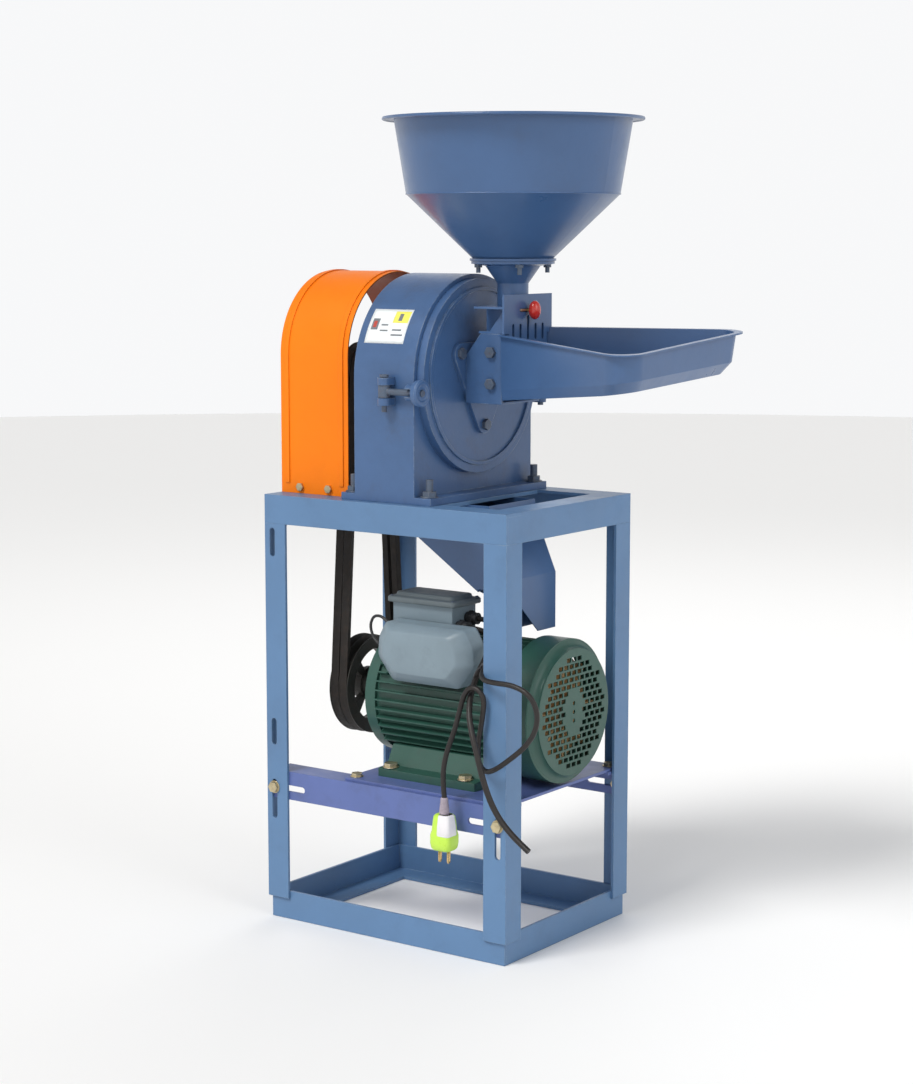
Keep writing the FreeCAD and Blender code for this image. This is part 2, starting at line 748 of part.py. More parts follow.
def make_feed_box():
    """A shelf for the hopper, a narrow chute below it, and a front plate with slits over the tray."""
    low_x = size("feed_box_start") + 9
    high_x = size("feed_box_end")
    half = size("feed_box_half_width")
    roof = size("duct_roof")
    duct = size("duct_half_width")
    sheet_wall = size("plate_wall")
    inside = high_x - sheet_wall
    shelf = shelf_top - sheet_wall
    overlap = inside + 1
    body = new_body("feed_box")
    pad(body, "YZ_Plane", inside, high_x,
        [[(-half, roof), (half, roof), (half, size("feed_box_top")), (-half, size("feed_box_top"))]])
    pad(body, "YZ_Plane", inside, high_x,
        [[(-apron_half, 800), (apron_half, 800), (apron_half, roof + 1), (-apron_half, roof + 1)]])
    pad(body, "XY_Plane", roof, roof + sheet_wall,
        [[(low_x, -duct), (overlap, -duct), (overlap, duct), (low_x, duct)]])
    wall_half = throat_half + sheet_wall
    pad(body, "XY_Plane", roof + 1, shelf + 1,
        [[(low_x, -wall_half), (overlap, -wall_half), (overlap, wall_half), (low_x, wall_half)],
         [(low_x + sheet_wall, -throat_half), (inside, -throat_half), (inside, throat_half),
          (low_x + sheet_wall, throat_half)]])
    pad(body, "XY_Plane", shelf, shelf_top,
        [[(low_x, -half), (overlap, -half), (overlap, half), (low_x, half)], ("circle", feed_x, 0, 18.0)])
    for side in (-1, 1):
        faces = sorted((side * duct, side * (duct - sheet_wall)), key=float)
        pad(body, "XZ_Plane", faces[0], faces[1],
            [[(low_x + 16, roof + 1), (overlap, roof + 1), (overlap, shelf + 1), (inside - 4, shelf + 1)]])
        ledge = sorted((side * (gate_half + 1), side * (throat_half + 1)), key=float)
        pad(body, "XY_Plane", shelf - 7.4, shelf - 4.4,
            [[(low_x + 1, ledge[0]), (overlap, ledge[0]), (overlap, ledge[1]), (low_x + 1, ledge[1])]])
    pocket(body, "XY_Plane", roof - 1, roof + sheet_wall + 1,
           [[(feed_x - 14, -throat_half), (size("duct_end") - 6, -throat_half),
             (size("duct_end") - 6, throat_half), (feed_x - 14, throat_half)]])
    pocket(body, "YZ_Plane", inside - 1, high_x + 1,
           [[(-gate_half - 0.6, shelf - 4.4), (gate_half + 0.6, shelf - 4.4),
             (gate_half + 0.6, shelf - 0.2), (-gate_half - 0.6, shelf - 0.2)]])
    pocket(body, "YZ_Plane", inside - 1, high_x + 1,
           [slot_loop(place, slit_foot + length / 2, length, 5, True) for place, length in slits])
    keep(body, "feed_box")


def make_gate():
    """A flat gate that pulls out towards +X through the front plate, with a knob at its end."""
    low = shelf_top - size("plate_wall") - 0.6 - gate_thickness
    tongue_start = size("feed_box_end") + 1
    slide = box((88, -gate_half, low), (tongue_start, gate_half, low + gate_thickness))
    keep(slide, "gate_plate")
    stem_level = low + gate_thickness / 2
    keep(rod((tongue_start, 0, stem_level), "x", 2.5, 5), "gate_lever")
    knob = doc.addObject("Part::Ellipsoid", "knob")
    knob.Radius1, knob.Radius2, knob.Radius3 = 12.5, 8, 8.5
    move_to(knob, (tongue_start + 9.5, 0, stem_level))
    keep(cut(knob, [rod((tongue_start - 1, 0, stem_level), "x", 2.5, 6)]), "gate_knob")


# ---------------------------------------------------------------- tray

tray_start = 121
tray_end = 382
tray_inner_half = 48
tray_outer_half = 159
tray_corner = 30
tray_floor_inset = 15
tray_bend_inset = 4
tray_bend_height = 14
tray_lip = 6
tray_sheet = 2.0


def rim_level(x, y):
    return 828.0 - 0.0344 * (x - tray_start) + 0.07 * y


def floor_level(x, y):
    return 739.0 + 0.115 * (x - tray_start) + 0.053 * y


def tray_outline(near, far, end, level, drop=0.0, extra=0.0):
    """The tray seen from above, rounded at its two outer corners, lifted on to a sloping plane."""
    slope = math.atan2(far - near, end - tray_start)
    start = tray_start - extra
    near -= extra * math.tan(slope)
    run = tray_corner * math.tan((math.pi / 2 + slope) / 2)
    middle_turn = -(math.pi / 2 + slope) / 2
    before = (end - run * math.cos(slope), -(far - run * math.sin(slope)))
    after = (end, run - far)
    centre = (end - tray_corner, run - far)
    crown = (centre[0] + tray_corner * math.cos(middle_turn),
             centre[1] + tray_corner * math.sin(middle_turn))
    half = [(start, -near), before, crown, after]
    front = [Vector(x, y, level(x, y) - drop) for x, y in half]
    back = [Vector(x, -y, level(x, -y) - drop) for x, y in reversed(half)]
    return Part.Wire([
        Part.makeLine(front[0], front[1]), Part.Arc(front[1], front[2], front[3]).toShape(),
        Part.makeLine(front[3], back[0]), Part.Arc(back[0], back[1], back[2]).toShape(),
        Part.makeLine(back[2], back[3]), Part.makeLine(back[3], front[0])])


def make_tray():
    """A splayed sheet trough, open at its inner end, with a turned-out lip on the other three sides."""
    stations = ((4, tray_floor_inset, floor_level, 0.0, -tray_sheet),
                (2, tray_bend_inset, floor_level, -tray_bend_height, -tray_bend_height),
                (0, 0, rim_level, 0.0, -0.5))
    outer = Part.makeLoft([tray_outline(tray_inner_half - near, tray_outer_half - far, tray_end - far,
                                        level, drop=drop)
                           for near, far, level, drop, _ in stations], True, True)
    inner = Part.makeLoft([tray_outline(tray_inner_half - near - tray_sheet,
                                        tray_outer_half - far - tray_sheet,
                                        tray_end - far - tray_sheet, level, drop=drop, extra=6)
                           for near, far, level, _, drop in stations], True, True)
    lip = Part.makeLoft([tray_outline(tray_inner_half + tray_lip, tray_outer_half + tray_lip,
                                      tray_end + tray_lip, rim_level, drop=drop)
                         for drop in (tray_sheet, 0.0)], True, True)
    box_start, box_half = float(size("feed_box_start")), float(size("feed_box_half_width"))
    box_length = float(size("feed_box_end")) - box_start
    under_box = Part.makeBox(box_length, 2 * box_half, 60,
                             Vector(box_start, -box_half, float(size("duct_roof"))))
    featured(outer.fuse(lip).cut(inner).cut(under_box), "feed_tray")


# ---------------------------------------------------------------- hopper

def make_hopper():
    """The neck on the shelf, the spun hopper on its flange, and their bolts."""
    neck_top = size("hopper_neck_height") - 4
    tube_top = shelf_top + 30
    thin = size("hopper_wall")
    turned("hopper_neck", (feed_x, 0, 0), "z",
           [(shelf_top, 18), (shelf_top, 21), (tube_top, 21),
            (neck_top - 7, 37), (neck_top - 4, 56), (neck_top, 56), (neck_top, 35),
            (tube_top, 18.5)])
    flange = size("hopper_flange_radius")
    neck = size("hopper_neck_radius")
    fold = size("hopper_fold_radius")
    fold_height = size("hopper_fold_height")
    drum = size("hopper_drum_radius")
    rim = size("hopper_rim_height")
    turned("hopper", (feed_x, 0, 0), "z",
           [(neck_top, 36), (neck_top, flange), (neck_top + 3, flange), (neck_top + 3, neck),
            (fold_height, fold), (rim - 3, drum), (rim - 3, size("hopper_rim_radius")),
            (rim, size("hopper_rim_radius")), (rim, drum - thin), (fold_height + 0.6, fold - thin),
            (neck_top + 3.6, neck - thin - 1), (neck_top + 3, 36)])
    bolts = []
    for number, hang in enumerate((12, 22, 12, 14)):
        turn = math.radians(45 + 90 * number)
        place = (feed_x + 47 * math.cos(turn), 47 * math.sin(turn))
        bolts.append(rod((place[0], place[1], neck_top - 4 - hang), "z", 3, hang + 6.5))
        nut_face = neck_top - 4 - 5
        bolts.append(cut(hexagon((place[0], place[1], nut_face), "z", 10, 5),
                         [rod((place[0], place[1], nut_face - 1), "z", 3, 7)]))
    gathered(bolts, "hopper_bolts")


# ---------------------------------------------------------------- guard, belts and motor drive

def make_guard():
    start, end = size("guard_start"), size("guard_end")
    radius = size("guard_radius")
    thick = size("guard_wall")
    centre = size("guard_axis_height")
    low = top

    def band(reach):
        return [(-reach, low), (-(reach - thick), low), (-(reach - thick), centre, -(reach - thick)),
                (reach - thick, centre), (reach - thick, low), (reach, low), (reach, centre, reach),
                (-reach, centre)]

    guard = new_body("belt_guard")
    pad(guard, "YZ_Plane", start, end, [band(radius)])
    for low_x, high_x in ((start + 8, start + 15), (end - 15, end - 8)):
        bead = radius + 1.6
        pad(guard, "YZ_Plane", low_x, high_x,
            [[(-bead, low + 14), (-(radius - 1), low + 14), (-(radius - 1), centre, -(radius - 1)),
              (radius - 1, centre), (radius - 1, low + 14), (bead, low + 14), (bead, centre, bead),
              (-bead, centre)]])
    keep(guard, "belt_guard")
    bolts = []
    for side in (-1, 1):
        for place in (start + 34, end - 34):
            bolts.append(bolt((place, side * radius, low + 9), "y", side, 6, grip=7))
            nut_face = radius - thick
            nut_start = side * nut_face if side < 0 else side * nut_face - 5
            bolts.append(hexagon((place, nut_start, low + 9), "y", 10, 5))
    gathered(bolts, "guard_bolts")


motor_height = size("motor_axis_height")


def belt_shape(middle_x):
    """One V-belt: its section swept along two straight runs and two arcs."""
    depth = float(size("belt_depth"))
    width = float(size("belt_width"))
    high, low = float(axis_height), float(motor_height)
    small = float(size("mill_pulley_radius")) - depth / 2 - 0.5
    large = float(size("motor_pulley_radius")) - depth / 2 - 0.5
    lean = math.asin((large - small) / (high - low))
    cos_lean, sin_lean = math.cos(lean), math.sin(lean)

    def at(y, z):
        return Vector(middle_x, y, z)

    up_left = at(-small * cos_lean, high + small * sin_lean)
    up_right = at(small * cos_lean, high + small * sin_lean)
    low_left = at(-large * cos_lean, low + large * sin_lean)
    low_right = at(large * cos_lean, low + large * sin_lean)
    path = Part.Wire([
        Part.makeLine(up_right, low_right),
        Part.Arc(low_right, at(0, low - large), low_left).toShape(),
        Part.makeLine(low_left, up_left),
        Part.Arc(up_left, at(0, high + small), up_right).toShape()])
    outward = Vector(0, cos_lean, sin_lean) * (depth / 2)
    across = Vector(width / 2 + 0.5, 0, 0)
    narrow = across * belt_taper
    corners = [up_right + outward - across, up_right + outward + across,
               up_right - outward + narrow, up_right - outward - narrow]
    return path.makePipeShell([Part.makePolygon(corners + corners[:1])], True, False)


belt_taper = 0.72


def make_belts():
    for word, place in zip(("inner", "outer"), reversed(groove_places())):
        featured(belt_shape(float(drive_start + place)), f"belt_{word}")


# ---------------------------------------------------------------- discharge chute

def make_chute():
    half = 55.0
    thin = 1.5
    outline = [(-30, 595), (-13, 546), (101, 470), (105, 420), (143, 420), (143, 497),
               (116, 560), (108, 595)]
    inner_outline = [(-28, 596), (-11.7, 547), (102.4, 471), (106.5, 419), (141.5, 419),
                     (141.5, 496.7), (114.5, 559.6), (106.4, 596)]

    def block(points, reach):
        corners = [Vector(x, -reach, z) for x, z in points]
        face = Part.Face(Part.makePolygon(corners + corners[:1]))
        return face.extrude(Vector(0, 2 * reach, 0))

    shell = block(outline, half).cut(block(inner_outline, half - thin))
    corner = [Vector(90, -60, 486), Vector(90, -60, 415), Vector(90, 18, 415)]
    shell = shell.cut(Part.Face(Part.makePolygon(corner + corner[:1])).extrude(Vector(80, 0, 0)))
    featured(shell, "discharge_chute")


# ---------------------------------------------------------------- motor

def make_motor():
    """The motor: finned stator, end bells, shaft, fan behind its grille, and feet."""
    start, end = size("motor_start"), size("motor_end")
    radius = size("motor_body_radius")
    stator = new_body("stator_blank")
    pad(stator, "YZ_Plane", start, end, [("circle", 0, 0, radius), ("circle", 0, 0, 56.0)])
    fin = pad(stator, "YZ_Plane", start + 2, end - 2,
              [[(radius - 2, -1.4), (radius + size("fin_height"), -1.0),
                (radius + size("fin_height"), 1.0), (radius - 2, 1.4)]])
    around(stator, fin, 44)
    move_to(stator, (0, 0, motor_height))
    # flats for the feet below and for the terminal box and capacitor in front
    foot_gap = box((start - 1, -100, plate_top - 10), (end + 1, 100, foot_crown + 0.5), "foot_gap")
    box_gap = box((-48, -78, 385), (70, -18, 430), "box_gap")
    cover_gap = box((-44, -120, 345), (124, -77.5, 440), "cover_gap")
    keep(cut(stator, [foot_gap, box_gap, cover_gap]), "motor_body")

    turned("drive_end_bell", (0, 0, motor_height), "x",
           [(start - 32, 16), (start - 32, 40), (start - 27, 70), (start - 17, 87), (start, 87),
            (start, 80), (start - 14, 80), (start - 23, 62), (start - 25, 30), (start - 20, 24),
            (start - 20, 16)])
    turned("fan_end_bell", (0, 0, motor_height), "x",
           [(end, 60), (end, 90), (end + 8, 90), (end + 14, 60), (end + 14, 14), (end + 8, 14),
            (end + 8, 56)])
    bearings = []
    for place, width, outer, inner in ((start - 31.5, 11, 16, 12.05), (end + 8.5, 5, 14, 10.05)):
        bearings.append(cut(rod((place, 0, motor_height), "x", outer, width),
                            [rod((place - 1, 0, motor_height), "x", inner, width + 2)]))
    gathered(bearings, "motor_bearings")
    turned("motor_shaft", (0, 0, motor_height), "x",
           [(drive_start - 4, 0), (end + 48, 0), (end + 48, 10), (end - 8, 10), (end - 8, 12),
            (drive_start - 4, 12)])
    turned("motor_core", (0, 0, motor_height), "x",
           [(start + 30, 12), (end - 30, 12), (end - 30, 50), (start + 30, 50)])

    fan = new_body("motor_fan")
    pad(fan, "YZ_Plane", end + 20, end + 24, [("circle", 0, 0, 80.0), ("circle", 0, 0, 10.0)])
    pad(fan, "YZ_Plane", end + 24, end + 44, [("circle", 0, 0, 18.0), ("circle", 0, 0, 10.0)])
    blade = pad(fan, "YZ_Plane", end + 24, end + 42, [[(16, -1.2), (78, -1.2), (78, 1.2), (16, 1.2)]])
    around(fan, blade, 8)
    move_to(fan, (0, 0, motor_height))
    keep(fan, "motor_fan")

    cover_end = size("fan_cover_end")
    cover = size("fan_cover_radius")
    shell = turned("fan_cover_shell", (0, 0, motor_height), "x",
                   [(end + 8, cover - 2), (end + 8, cover), (cover_end - 12, cover, 12.0),
                    (cover_end, cover - 12), (cover_end, 0), (cover_end - 2, 0),
                    (cover_end - 2, cover - 12, -10.0), (cover_end - 12, cover - 2)], kept=False)
    holes = []
    pitch_y, pitch_z, reach = 13.0, 9.0, 74
    for row in range(-8, 9):
        shift = 0 if row % 2 == 0 else pitch_y / 2
        for column in range(-6, 7):
            y, z = column * pitch_y + shift, row * pitch_z
            in_ring = 28 < math.hypot(y, z) < reach or (abs(z) < 20 and 20 < abs(y) < reach)
            if in_ring and not (abs(y) < 20 and abs(z) < 22):
                holes.append(box((cover_end - 6, y - 5.1, motor_height + z - 3.0),
                                 (cover_end + 1, y + 5.1, motor_height + z + 3.0)))
    for z in (-12, 0, 12):
        holes.append(rod((cover_end - 6, 0, motor_height + z), "x", 3, 8))
    pattern = doc.addObject("Part::Compound", "grille_holes")
    pattern.Links = holes
    grille = doc.addObject("Part::Cut", "grille")
    grille.Base, grille.Tool = shell, pattern
    keep(grille, "fan_cover")

    feet = []
    for side in (-1, 1):
        foot = new_body("motor_foot")
        pad(foot, "YZ_Plane", foot_low_x, foot_high_x,
            [[(side * 54, plate_top), (side * 108, plate_top), (side * 108, foot_step),
              (side * 88, foot_step + 2), (side * 74, foot_crown), (side * 54, foot_crown)]])
        feet.append(foot)
    gathered(feet, "motor_feet")
    gathered([bolt((x_place, side * 98, foot_step + 1), "z", 1, 10, grip=12)
              for side in (-1, 1) for x_place in (-26, 100)], "motor_bolts")
    wheel = turned("motor_pulley", (drive_start, 0, motor_height), "x",
                   pulley_outline(size("motor_pulley_radius"), 12, 6, 8))
    inner, outer, spread_angle = 24.0, 50.0, math.radians(34)
    corners = [(radius * math.cos(turn), radius * math.sin(turn))
               for radius, turn in ((inner, -spread_angle), (outer, -spread_angle),
                                    (outer, spread_angle), (inner, spread_angle))]
    window = pocket(wheel, "YZ_Plane", -1, drive_width + 1,
                    [[corners[0], corners[1] + (outer,), corners[2], corners[3] + (-inner,)]])
    around(wheel, window, 4)


foot_low_x, foot_high_x = -40, 122
foot_step = plate_top + 11
foot_crown = plate_top + 39
terminal = {"x": 12, "y": -48, "low": 385.5, "seat": 456, "top": 470}


def make_terminal_box():
    """The terminal box with its lid, the capacitor in its cover, and the cord glands."""
    x, y = terminal["x"], terminal["y"]
    outer = box((x - 50, y - 27, terminal["low"]), (x + 50, y + 27, terminal["seat"]))
    hollow = box((x - 46, y - 23, terminal["low"] + 14), (x + 46, y + 23, terminal["seat"] + 1))
    keep(cut(outer, [hollow]), "terminal_box")
    lid = new_body("terminal_lid")
    pad(lid, "XY_Plane", terminal["seat"], terminal["seat"] + 8,
        [[(x - 57, y - 34), (x + 57, y - 34), (x + 57, y + 34), (x - 57, y + 34)]])
    pad(lid, "XY_Plane", terminal["seat"] + 8, terminal["top"],
        [[(x - 48, y - 25), (x + 48, y - 25), (x + 48, y + 25), (x - 48, y + 25)]])
    keep(lid, "terminal_lid")
    cover = new_body("capacitor_cover")
    outline = [(-28, 434), (104, 434), (118, 412), (121, 385), (96, 352), (-16, 352), (-42, 385),
               (-40, 412)]
    inner = [(-24, 430), (100, 430), (114, 410.5), (116.5, 386.5), (94, 356), (-14, 356),
             (-37.5, 386.5), (-36, 410.5)]
    front = [(-12, 424), (88, 424), (100, 408), (102, 386), (84, 366), (-4, 366), (-24, 386),
             (-22, 408)]
    pad(cover, "XZ_Plane", -106, -78, [list(reversed(outline))])
    loft = body_loft(cover, "XZ_Plane", ((-106, outline), (-122, front)))
    cover.Tip = loft
    pocket(cover, "XZ_Plane", -104, -77, [list(reversed(inner))])
    keep(cover, "capacitor_cover")
    keep(rod((-14, -94, 396), "x", 9, 104), "capacitor")
    glands = []
    for start, y_place, z_place, bore in ((x + 50, -40, 438, 3.6), (x + 50, -62, 428, 4.1)):
        barrel = rod((start, y_place, z_place), "x", 8, 18)
        ring = hexagon((start + 4, y_place, z_place), "x", 18, 7)
        glands.append(cut(fused([barrel, ring]), [rod((start + 2, y_place, z_place), "x", bore, 20)]))
    glands.append(round_tube(link_wire, 4, "link_wire"))
    gathered(glands, "cord_glands")


# ---------------------------------------------------------------- cords and plug

supply_route = [(80, -40, 438), (101, -42, 438), (125, -57, 432), (143, -90, 412), (152, -128, 393),
                (168, -160, 384), (196, -174, 384), (228, -175, 385), (254, -174, 376),
                (266, -172, 354), (263, -171, 329), (247, -171, 306), (223, -172, 286),
                (200, -172, 269), (180, -167, 262), (166, -162, 274), (165, -160, 300),
                (171, -160, 329), (175, -160, 357), (165, -160, 370), (151, -160, 371),
                (141, -160, 358), (135, -161, 335), (129, -163, 311), (121, -166, 288),
                (116, -169, 266), (117, -173, 244), (121, -175, 222)]
lead_route = [(80, -62, 428), (98, -62, 428), (121, -70, 423), (133, -92, 404), (138, -122, 383),
              (146, -150, 362), (156, -169, 340), (168, -180, 317), (181, -186, 291),
              (190, -188, 264), (204, -190, 233), (220, -191, 211), (236, -191, 196),
              (251, -190, 184), (265, -190, 175)]
link_wire = [(-34, -90, 427), (-50, -88, 436), (-64, -86, 434), (-71, -85, 421), (-67, -85, 406),
             (-55, -87, 396), (-43, -89, 395)]


def round_tube(route, diameter, name):
    """A round cord: straight runs joined by tangent arcs as large as the runs allow."""
    points = [Vector(*point) for point in route]
    edges = []
    here = points[0]
    radii = []
    for before, corner, after in zip(points, points[1:], points[2:]):
        back = before - corner
        ahead = after - corner
        turn = math.pi - back.getAngle(ahead)
        radius = 0.45 * min(back.Length, ahead.Length) / math.tan(turn / 2)
        radii.append(radius)
        set_back = radius * math.tan(turn / 2)
        enter = corner + back.normalize() * set_back
        leave = corner + ahead.normalize() * set_back
        bisector = (back + ahead).normalize()
        crown = corner + bisector * (radius / math.cos(turn / 2) - radius)
        edges += [Part.makeLine(here, enter), Part.Arc(enter, crown, leave).toShape()]
        here = leave
    edges.append(Part.makeLine(here, points[-1]))
    path = Part.Wire(edges)
    start_direction = (points[1] - points[0]).normalize()
    section = Part.Wire(Part.makeCircle(diameter / 2, points[0], start_direction))
    item = doc.addObject("Part::Feature", tidy_name(name))
    item.Shape = path.makePipeShell([section], True, False)
    print(name, "length", round(path.Length), "tightest bend", round(min(radii)))
    return item


def make_cords():
    """The supply cord with its plug, and the spare lead."""
    keep(round_tube(supply_route, float(size("supply_cord_diameter")), "supply_cord"), "supply_cord")
    keep(round_tube(lead_route, float(size("lead_cord_diameter")), "spare_lead"), "spare_lead")
    x, y, high = supply_route[-1]
    keep(cone((x, y, high - 22), "z", 7, 4.5, 22), "plug_relief")
    upper = box((x - 13, y - 12, high - 50), (x + 13, y + 12, high - 22))
    lower = box((x - 16, y - 14, high - 70), (x + 16, y + 14, high - 50))
    keep(fused([upper, lower]), "plug_body")
    pins = [box((x - 8, y - 1, high - 88), (x - 6, y + 5, high - 70)),
            box((x + 6, y - 1, high - 88), (x + 8, y + 5, high - 70))]
    gathered(pins, "plug_pins")


# ---------------------------------------------------------------- assembly

make_base_and_top()
make_legs()
make_motor_rails()
make_casing()
make_casing_lugs()
make_foot_studs()
make_rotor()
make_door()
make_clamp()
make_inlet()
make_feed_box()
make_gate()
make_tray()
make_hopper()
make_guard()
make_belts()
make_chute()
make_motor()
make_terminal_box()
make_cords()

doc.recompute()
for item in doc.Objects:
    if "Invalid" in item.State or "Error" in item.State:
        raise RuntimeError(f"{item.Label} did not recompute: {item.State}")
for item in SUB_PARTS:
    if item.Shape.isNull() or not item.Shape.isValid():
        raise RuntimeError(f"{item.Label} has no valid shape")

os.makedirs("parts", exist_ok=True)
for item in SUB_PARTS:
    item.Shape.exportStep(f"parts/{item.Label}.step")
print(len(SUB_PARTS), "pieces")
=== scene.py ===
import math
import random
from functools import partial

import bmesh
import bpy
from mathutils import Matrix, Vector


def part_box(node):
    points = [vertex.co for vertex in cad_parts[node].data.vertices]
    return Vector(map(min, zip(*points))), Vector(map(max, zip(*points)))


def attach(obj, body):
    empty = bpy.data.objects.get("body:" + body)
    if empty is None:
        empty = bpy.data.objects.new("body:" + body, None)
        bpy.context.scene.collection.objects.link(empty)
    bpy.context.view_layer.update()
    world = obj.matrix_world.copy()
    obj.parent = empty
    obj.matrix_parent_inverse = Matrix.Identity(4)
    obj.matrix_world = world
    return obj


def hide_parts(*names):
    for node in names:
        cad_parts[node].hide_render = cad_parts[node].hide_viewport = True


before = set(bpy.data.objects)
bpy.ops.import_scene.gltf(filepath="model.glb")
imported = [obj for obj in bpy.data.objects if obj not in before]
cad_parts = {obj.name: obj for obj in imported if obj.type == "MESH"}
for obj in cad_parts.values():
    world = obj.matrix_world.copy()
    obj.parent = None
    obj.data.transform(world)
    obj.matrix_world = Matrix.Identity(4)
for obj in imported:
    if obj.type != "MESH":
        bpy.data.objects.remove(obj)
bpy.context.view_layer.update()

# A hammer mill on an angle-iron stand, in the frame's own axes: +X towards the mill's door, +Y to
# the back, +Z up, with the floor at zero.  Lengths are in metres, apart from the lists that say
# they are in millimetres, which are scaled by MM where they are used.

MM = 0.001
random.seed(7)


# ---------------------------------------------------------------- camera, floor and light

VIEW = {"azimuth": math.radians(35.72), "elevation": math.radians(7.70), "distance": 3.2345,
        "lens": 77.63, "sensor": 36, "target": Vector((0.0149, 0.0, 0.5336))}
LIGHT_AIM = Vector((0, 0, 0.55))
HORIZON_GLOW, ZENITH_GLOW = 0.95, 0.32
FLOOR_RADIUS = 9
FLOOR_DROP = 0.0004


def direction(azimuth, elevation):
    """The unit vector from the object to a viewer at that azimuth and elevation."""
    flat = math.cos(elevation)
    return Vector((math.sin(azimuth) * flat, -math.cos(azimuth) * flat, math.sin(elevation)))


def add_camera():
    """The photograph's own view, as solved from the stand's corners."""
    data = bpy.data.cameras.new("view")
    data.lens = VIEW["lens"]
    data.sensor_width = VIEW["sensor"]
    camera = bpy.data.objects.new("view", data)
    towards = direction(VIEW["azimuth"], VIEW["elevation"])
    camera.location = VIEW["target"] + towards * VIEW["distance"]
    camera.rotation_euler = towards.to_track_quat("Z", "Y").to_euler()
    bpy.context.scene.collection.objects.link(camera)
    bpy.context.scene.camera = camera


def add_lamp(name, kind, azimuth, elevation, strength, colour):
    """A lamp that shines at the object from that side, with its angles in degrees."""
    data = bpy.data.lights.new(name, kind)
    data.energy = strength
    data.color = colour
    lamp = bpy.data.objects.new(name, data)
    towards = direction(math.radians(azimuth), math.radians(elevation))
    lamp.rotation_euler = towards.to_track_quat("Z", "Y").to_euler()
    bpy.context.scene.collection.objects.link(lamp)
    return lamp, towards


def add_light(name, azimuth, elevation, distance, size, power, colour=(1, 1, 1)):
    """A square lamp of that size, at a distance from the object's middle."""
    lamp, towards = add_lamp(name, "AREA", azimuth, elevation, power, colour)
    lamp.data.size = size
    lamp.location = LIGHT_AIM + towards * distance


def add_sun(name, azimuth, elevation, softness, strength, colour):
    """Even light from one side, with shadows softened by its angle in degrees."""
    lamp, _ = add_lamp(name, "SUN", azimuth, elevation, strength, colour)
    lamp.data.angle = math.radians(softness)


def add_studio():
    """A white floor and three lamps, in a world that is bright at the horizon and dim overhead."""
    world = bpy.data.worlds.new("studio")
    world.use_nodes = True
    tree = world.node_tree
    background = tree.nodes["Background"]
    background.inputs["Color"].default_value = (0.985, 0.99, 1.0, 1)
    height = node(tree, "ShaderNodeSeparateXYZ")
    tree.links.new(node(tree, "ShaderNodeTexCoord").outputs["Generated"], height.inputs["Vector"])
    glow = ramp(tree, height.outputs["Z"], 0.12, 0.6, HORIZON_GLOW, ZENITH_GLOW)
    tree.links.new(glow, background.inputs["Strength"])
    bpy.context.scene.world = world
    bpy.context.scene.view_settings.view_transform = "Standard"
    add_sun("key", azimuth=-12, elevation=50, softness=22, strength=2.15, colour=(1.0, 0.985, 0.96))
    add_light("fill", azimuth=80, elevation=30, distance=3.4, size=1.8, power=24,
              colour=(0.95, 0.98, 1.0))
    add_light("back", azimuth=200, elevation=42, distance=3.4, size=2.0, power=20)
    bpy.ops.mesh.primitive_circle_add(vertices=96, radius=FLOOR_RADIUS, fill_type="NGON",
                                      location=(0, 0, -FLOOR_DROP))
    floor = bpy.context.object
    floor.name = "floor"
    material, _, shader = new_material("floor_white")
    shader.inputs["Base Color"].default_value = (0.90, 0.90, 0.90, 1)
    shader.inputs["Roughness"].default_value = 0.9
    floor.data.materials.append(material)


# ---------------------------------------------------------------- materials

FLAT_DOT, SHARP_DOT = 0.995, 0.90  # how well the two normals agree on a flat and on an edge
ARCH_EDGE = 0.0002  # half the width over which the painted shade inside the guard changes to its outside colour
COAT_ROUGHNESS = 0.18
LUMP_HEIGHT = 0.002


def new_material(name):
    material = bpy.data.materials.new(name)
    material.use_nodes = True
    return material, material.node_tree, material.node_tree.nodes["Principled BSDF"]


def node(tree, kind, **settings):
    """A new node, with each setting put in the socket of that name, or else in the property."""
    made = tree.nodes.new(kind)
    for key, value in settings.items():
        socket = key.replace("_", " ")
        if socket in made.inputs:
            made.inputs[socket].default_value = value
        else:
            setattr(made, key, value)
    return made


def noise_field(tree, place, scale, detail=4.0, rough=0.55):
    field = node(tree, "ShaderNodeTexNoise", Scale=scale, Detail=detail, Roughness=rough)
    tree.links.new(place, field.inputs["Vector"])
    return field.outputs["Fac"]


def ramp(tree, value, low, high, out_low=0.0, out_high=1.0):
    """The value mapped from low and high to out_low and out_high, and held there beyond them."""
    made = node(tree, "ShaderNodeMapRange")
    made.inputs["From Min"].default_value = low
    made.inputs["From Max"].default_value = high
    made.inputs["To Min"].default_value = out_low
    made.inputs["To Max"].default_value = out_high
    tree.links.new(value, made.inputs["Value"])
    return made.outputs["Result"]


def times(tree, first, second):
    """The product of two values, each a socket or a plain number."""
    made = node(tree, "ShaderNodeMath", operation="MULTIPLY")
    for socket, value in zip(made.inputs, (first, second)):
        if isinstance(value, float):
            socket.default_value = value
        else:
            tree.links.new(value, socket)
    return made.outputs["Value"]


def blend_colours(tree, amount, first, second):
    """The first colour going to the second as amount rises, each a socket or three channels."""
    made = node(tree, "ShaderNodeMix", data_type="RGBA")
    sockets = [socket for socket in made.inputs if socket.type == "RGBA"]
    for socket, colour in zip(sockets, (first, second)):
        if isinstance(colour, tuple):
            socket.default_value = colour + (1,)
        else:
            tree.links.new(colour, socket)
    tree.links.new(amount, made.inputs["Factor"])
    return next(socket for socket in made.outputs if socket.type == "RGBA")


def shade(colour, factor):
    """The colour made darker or lighter."""
    return tuple(min(1.0, max(0.0, channel * factor)) for channel in colour)


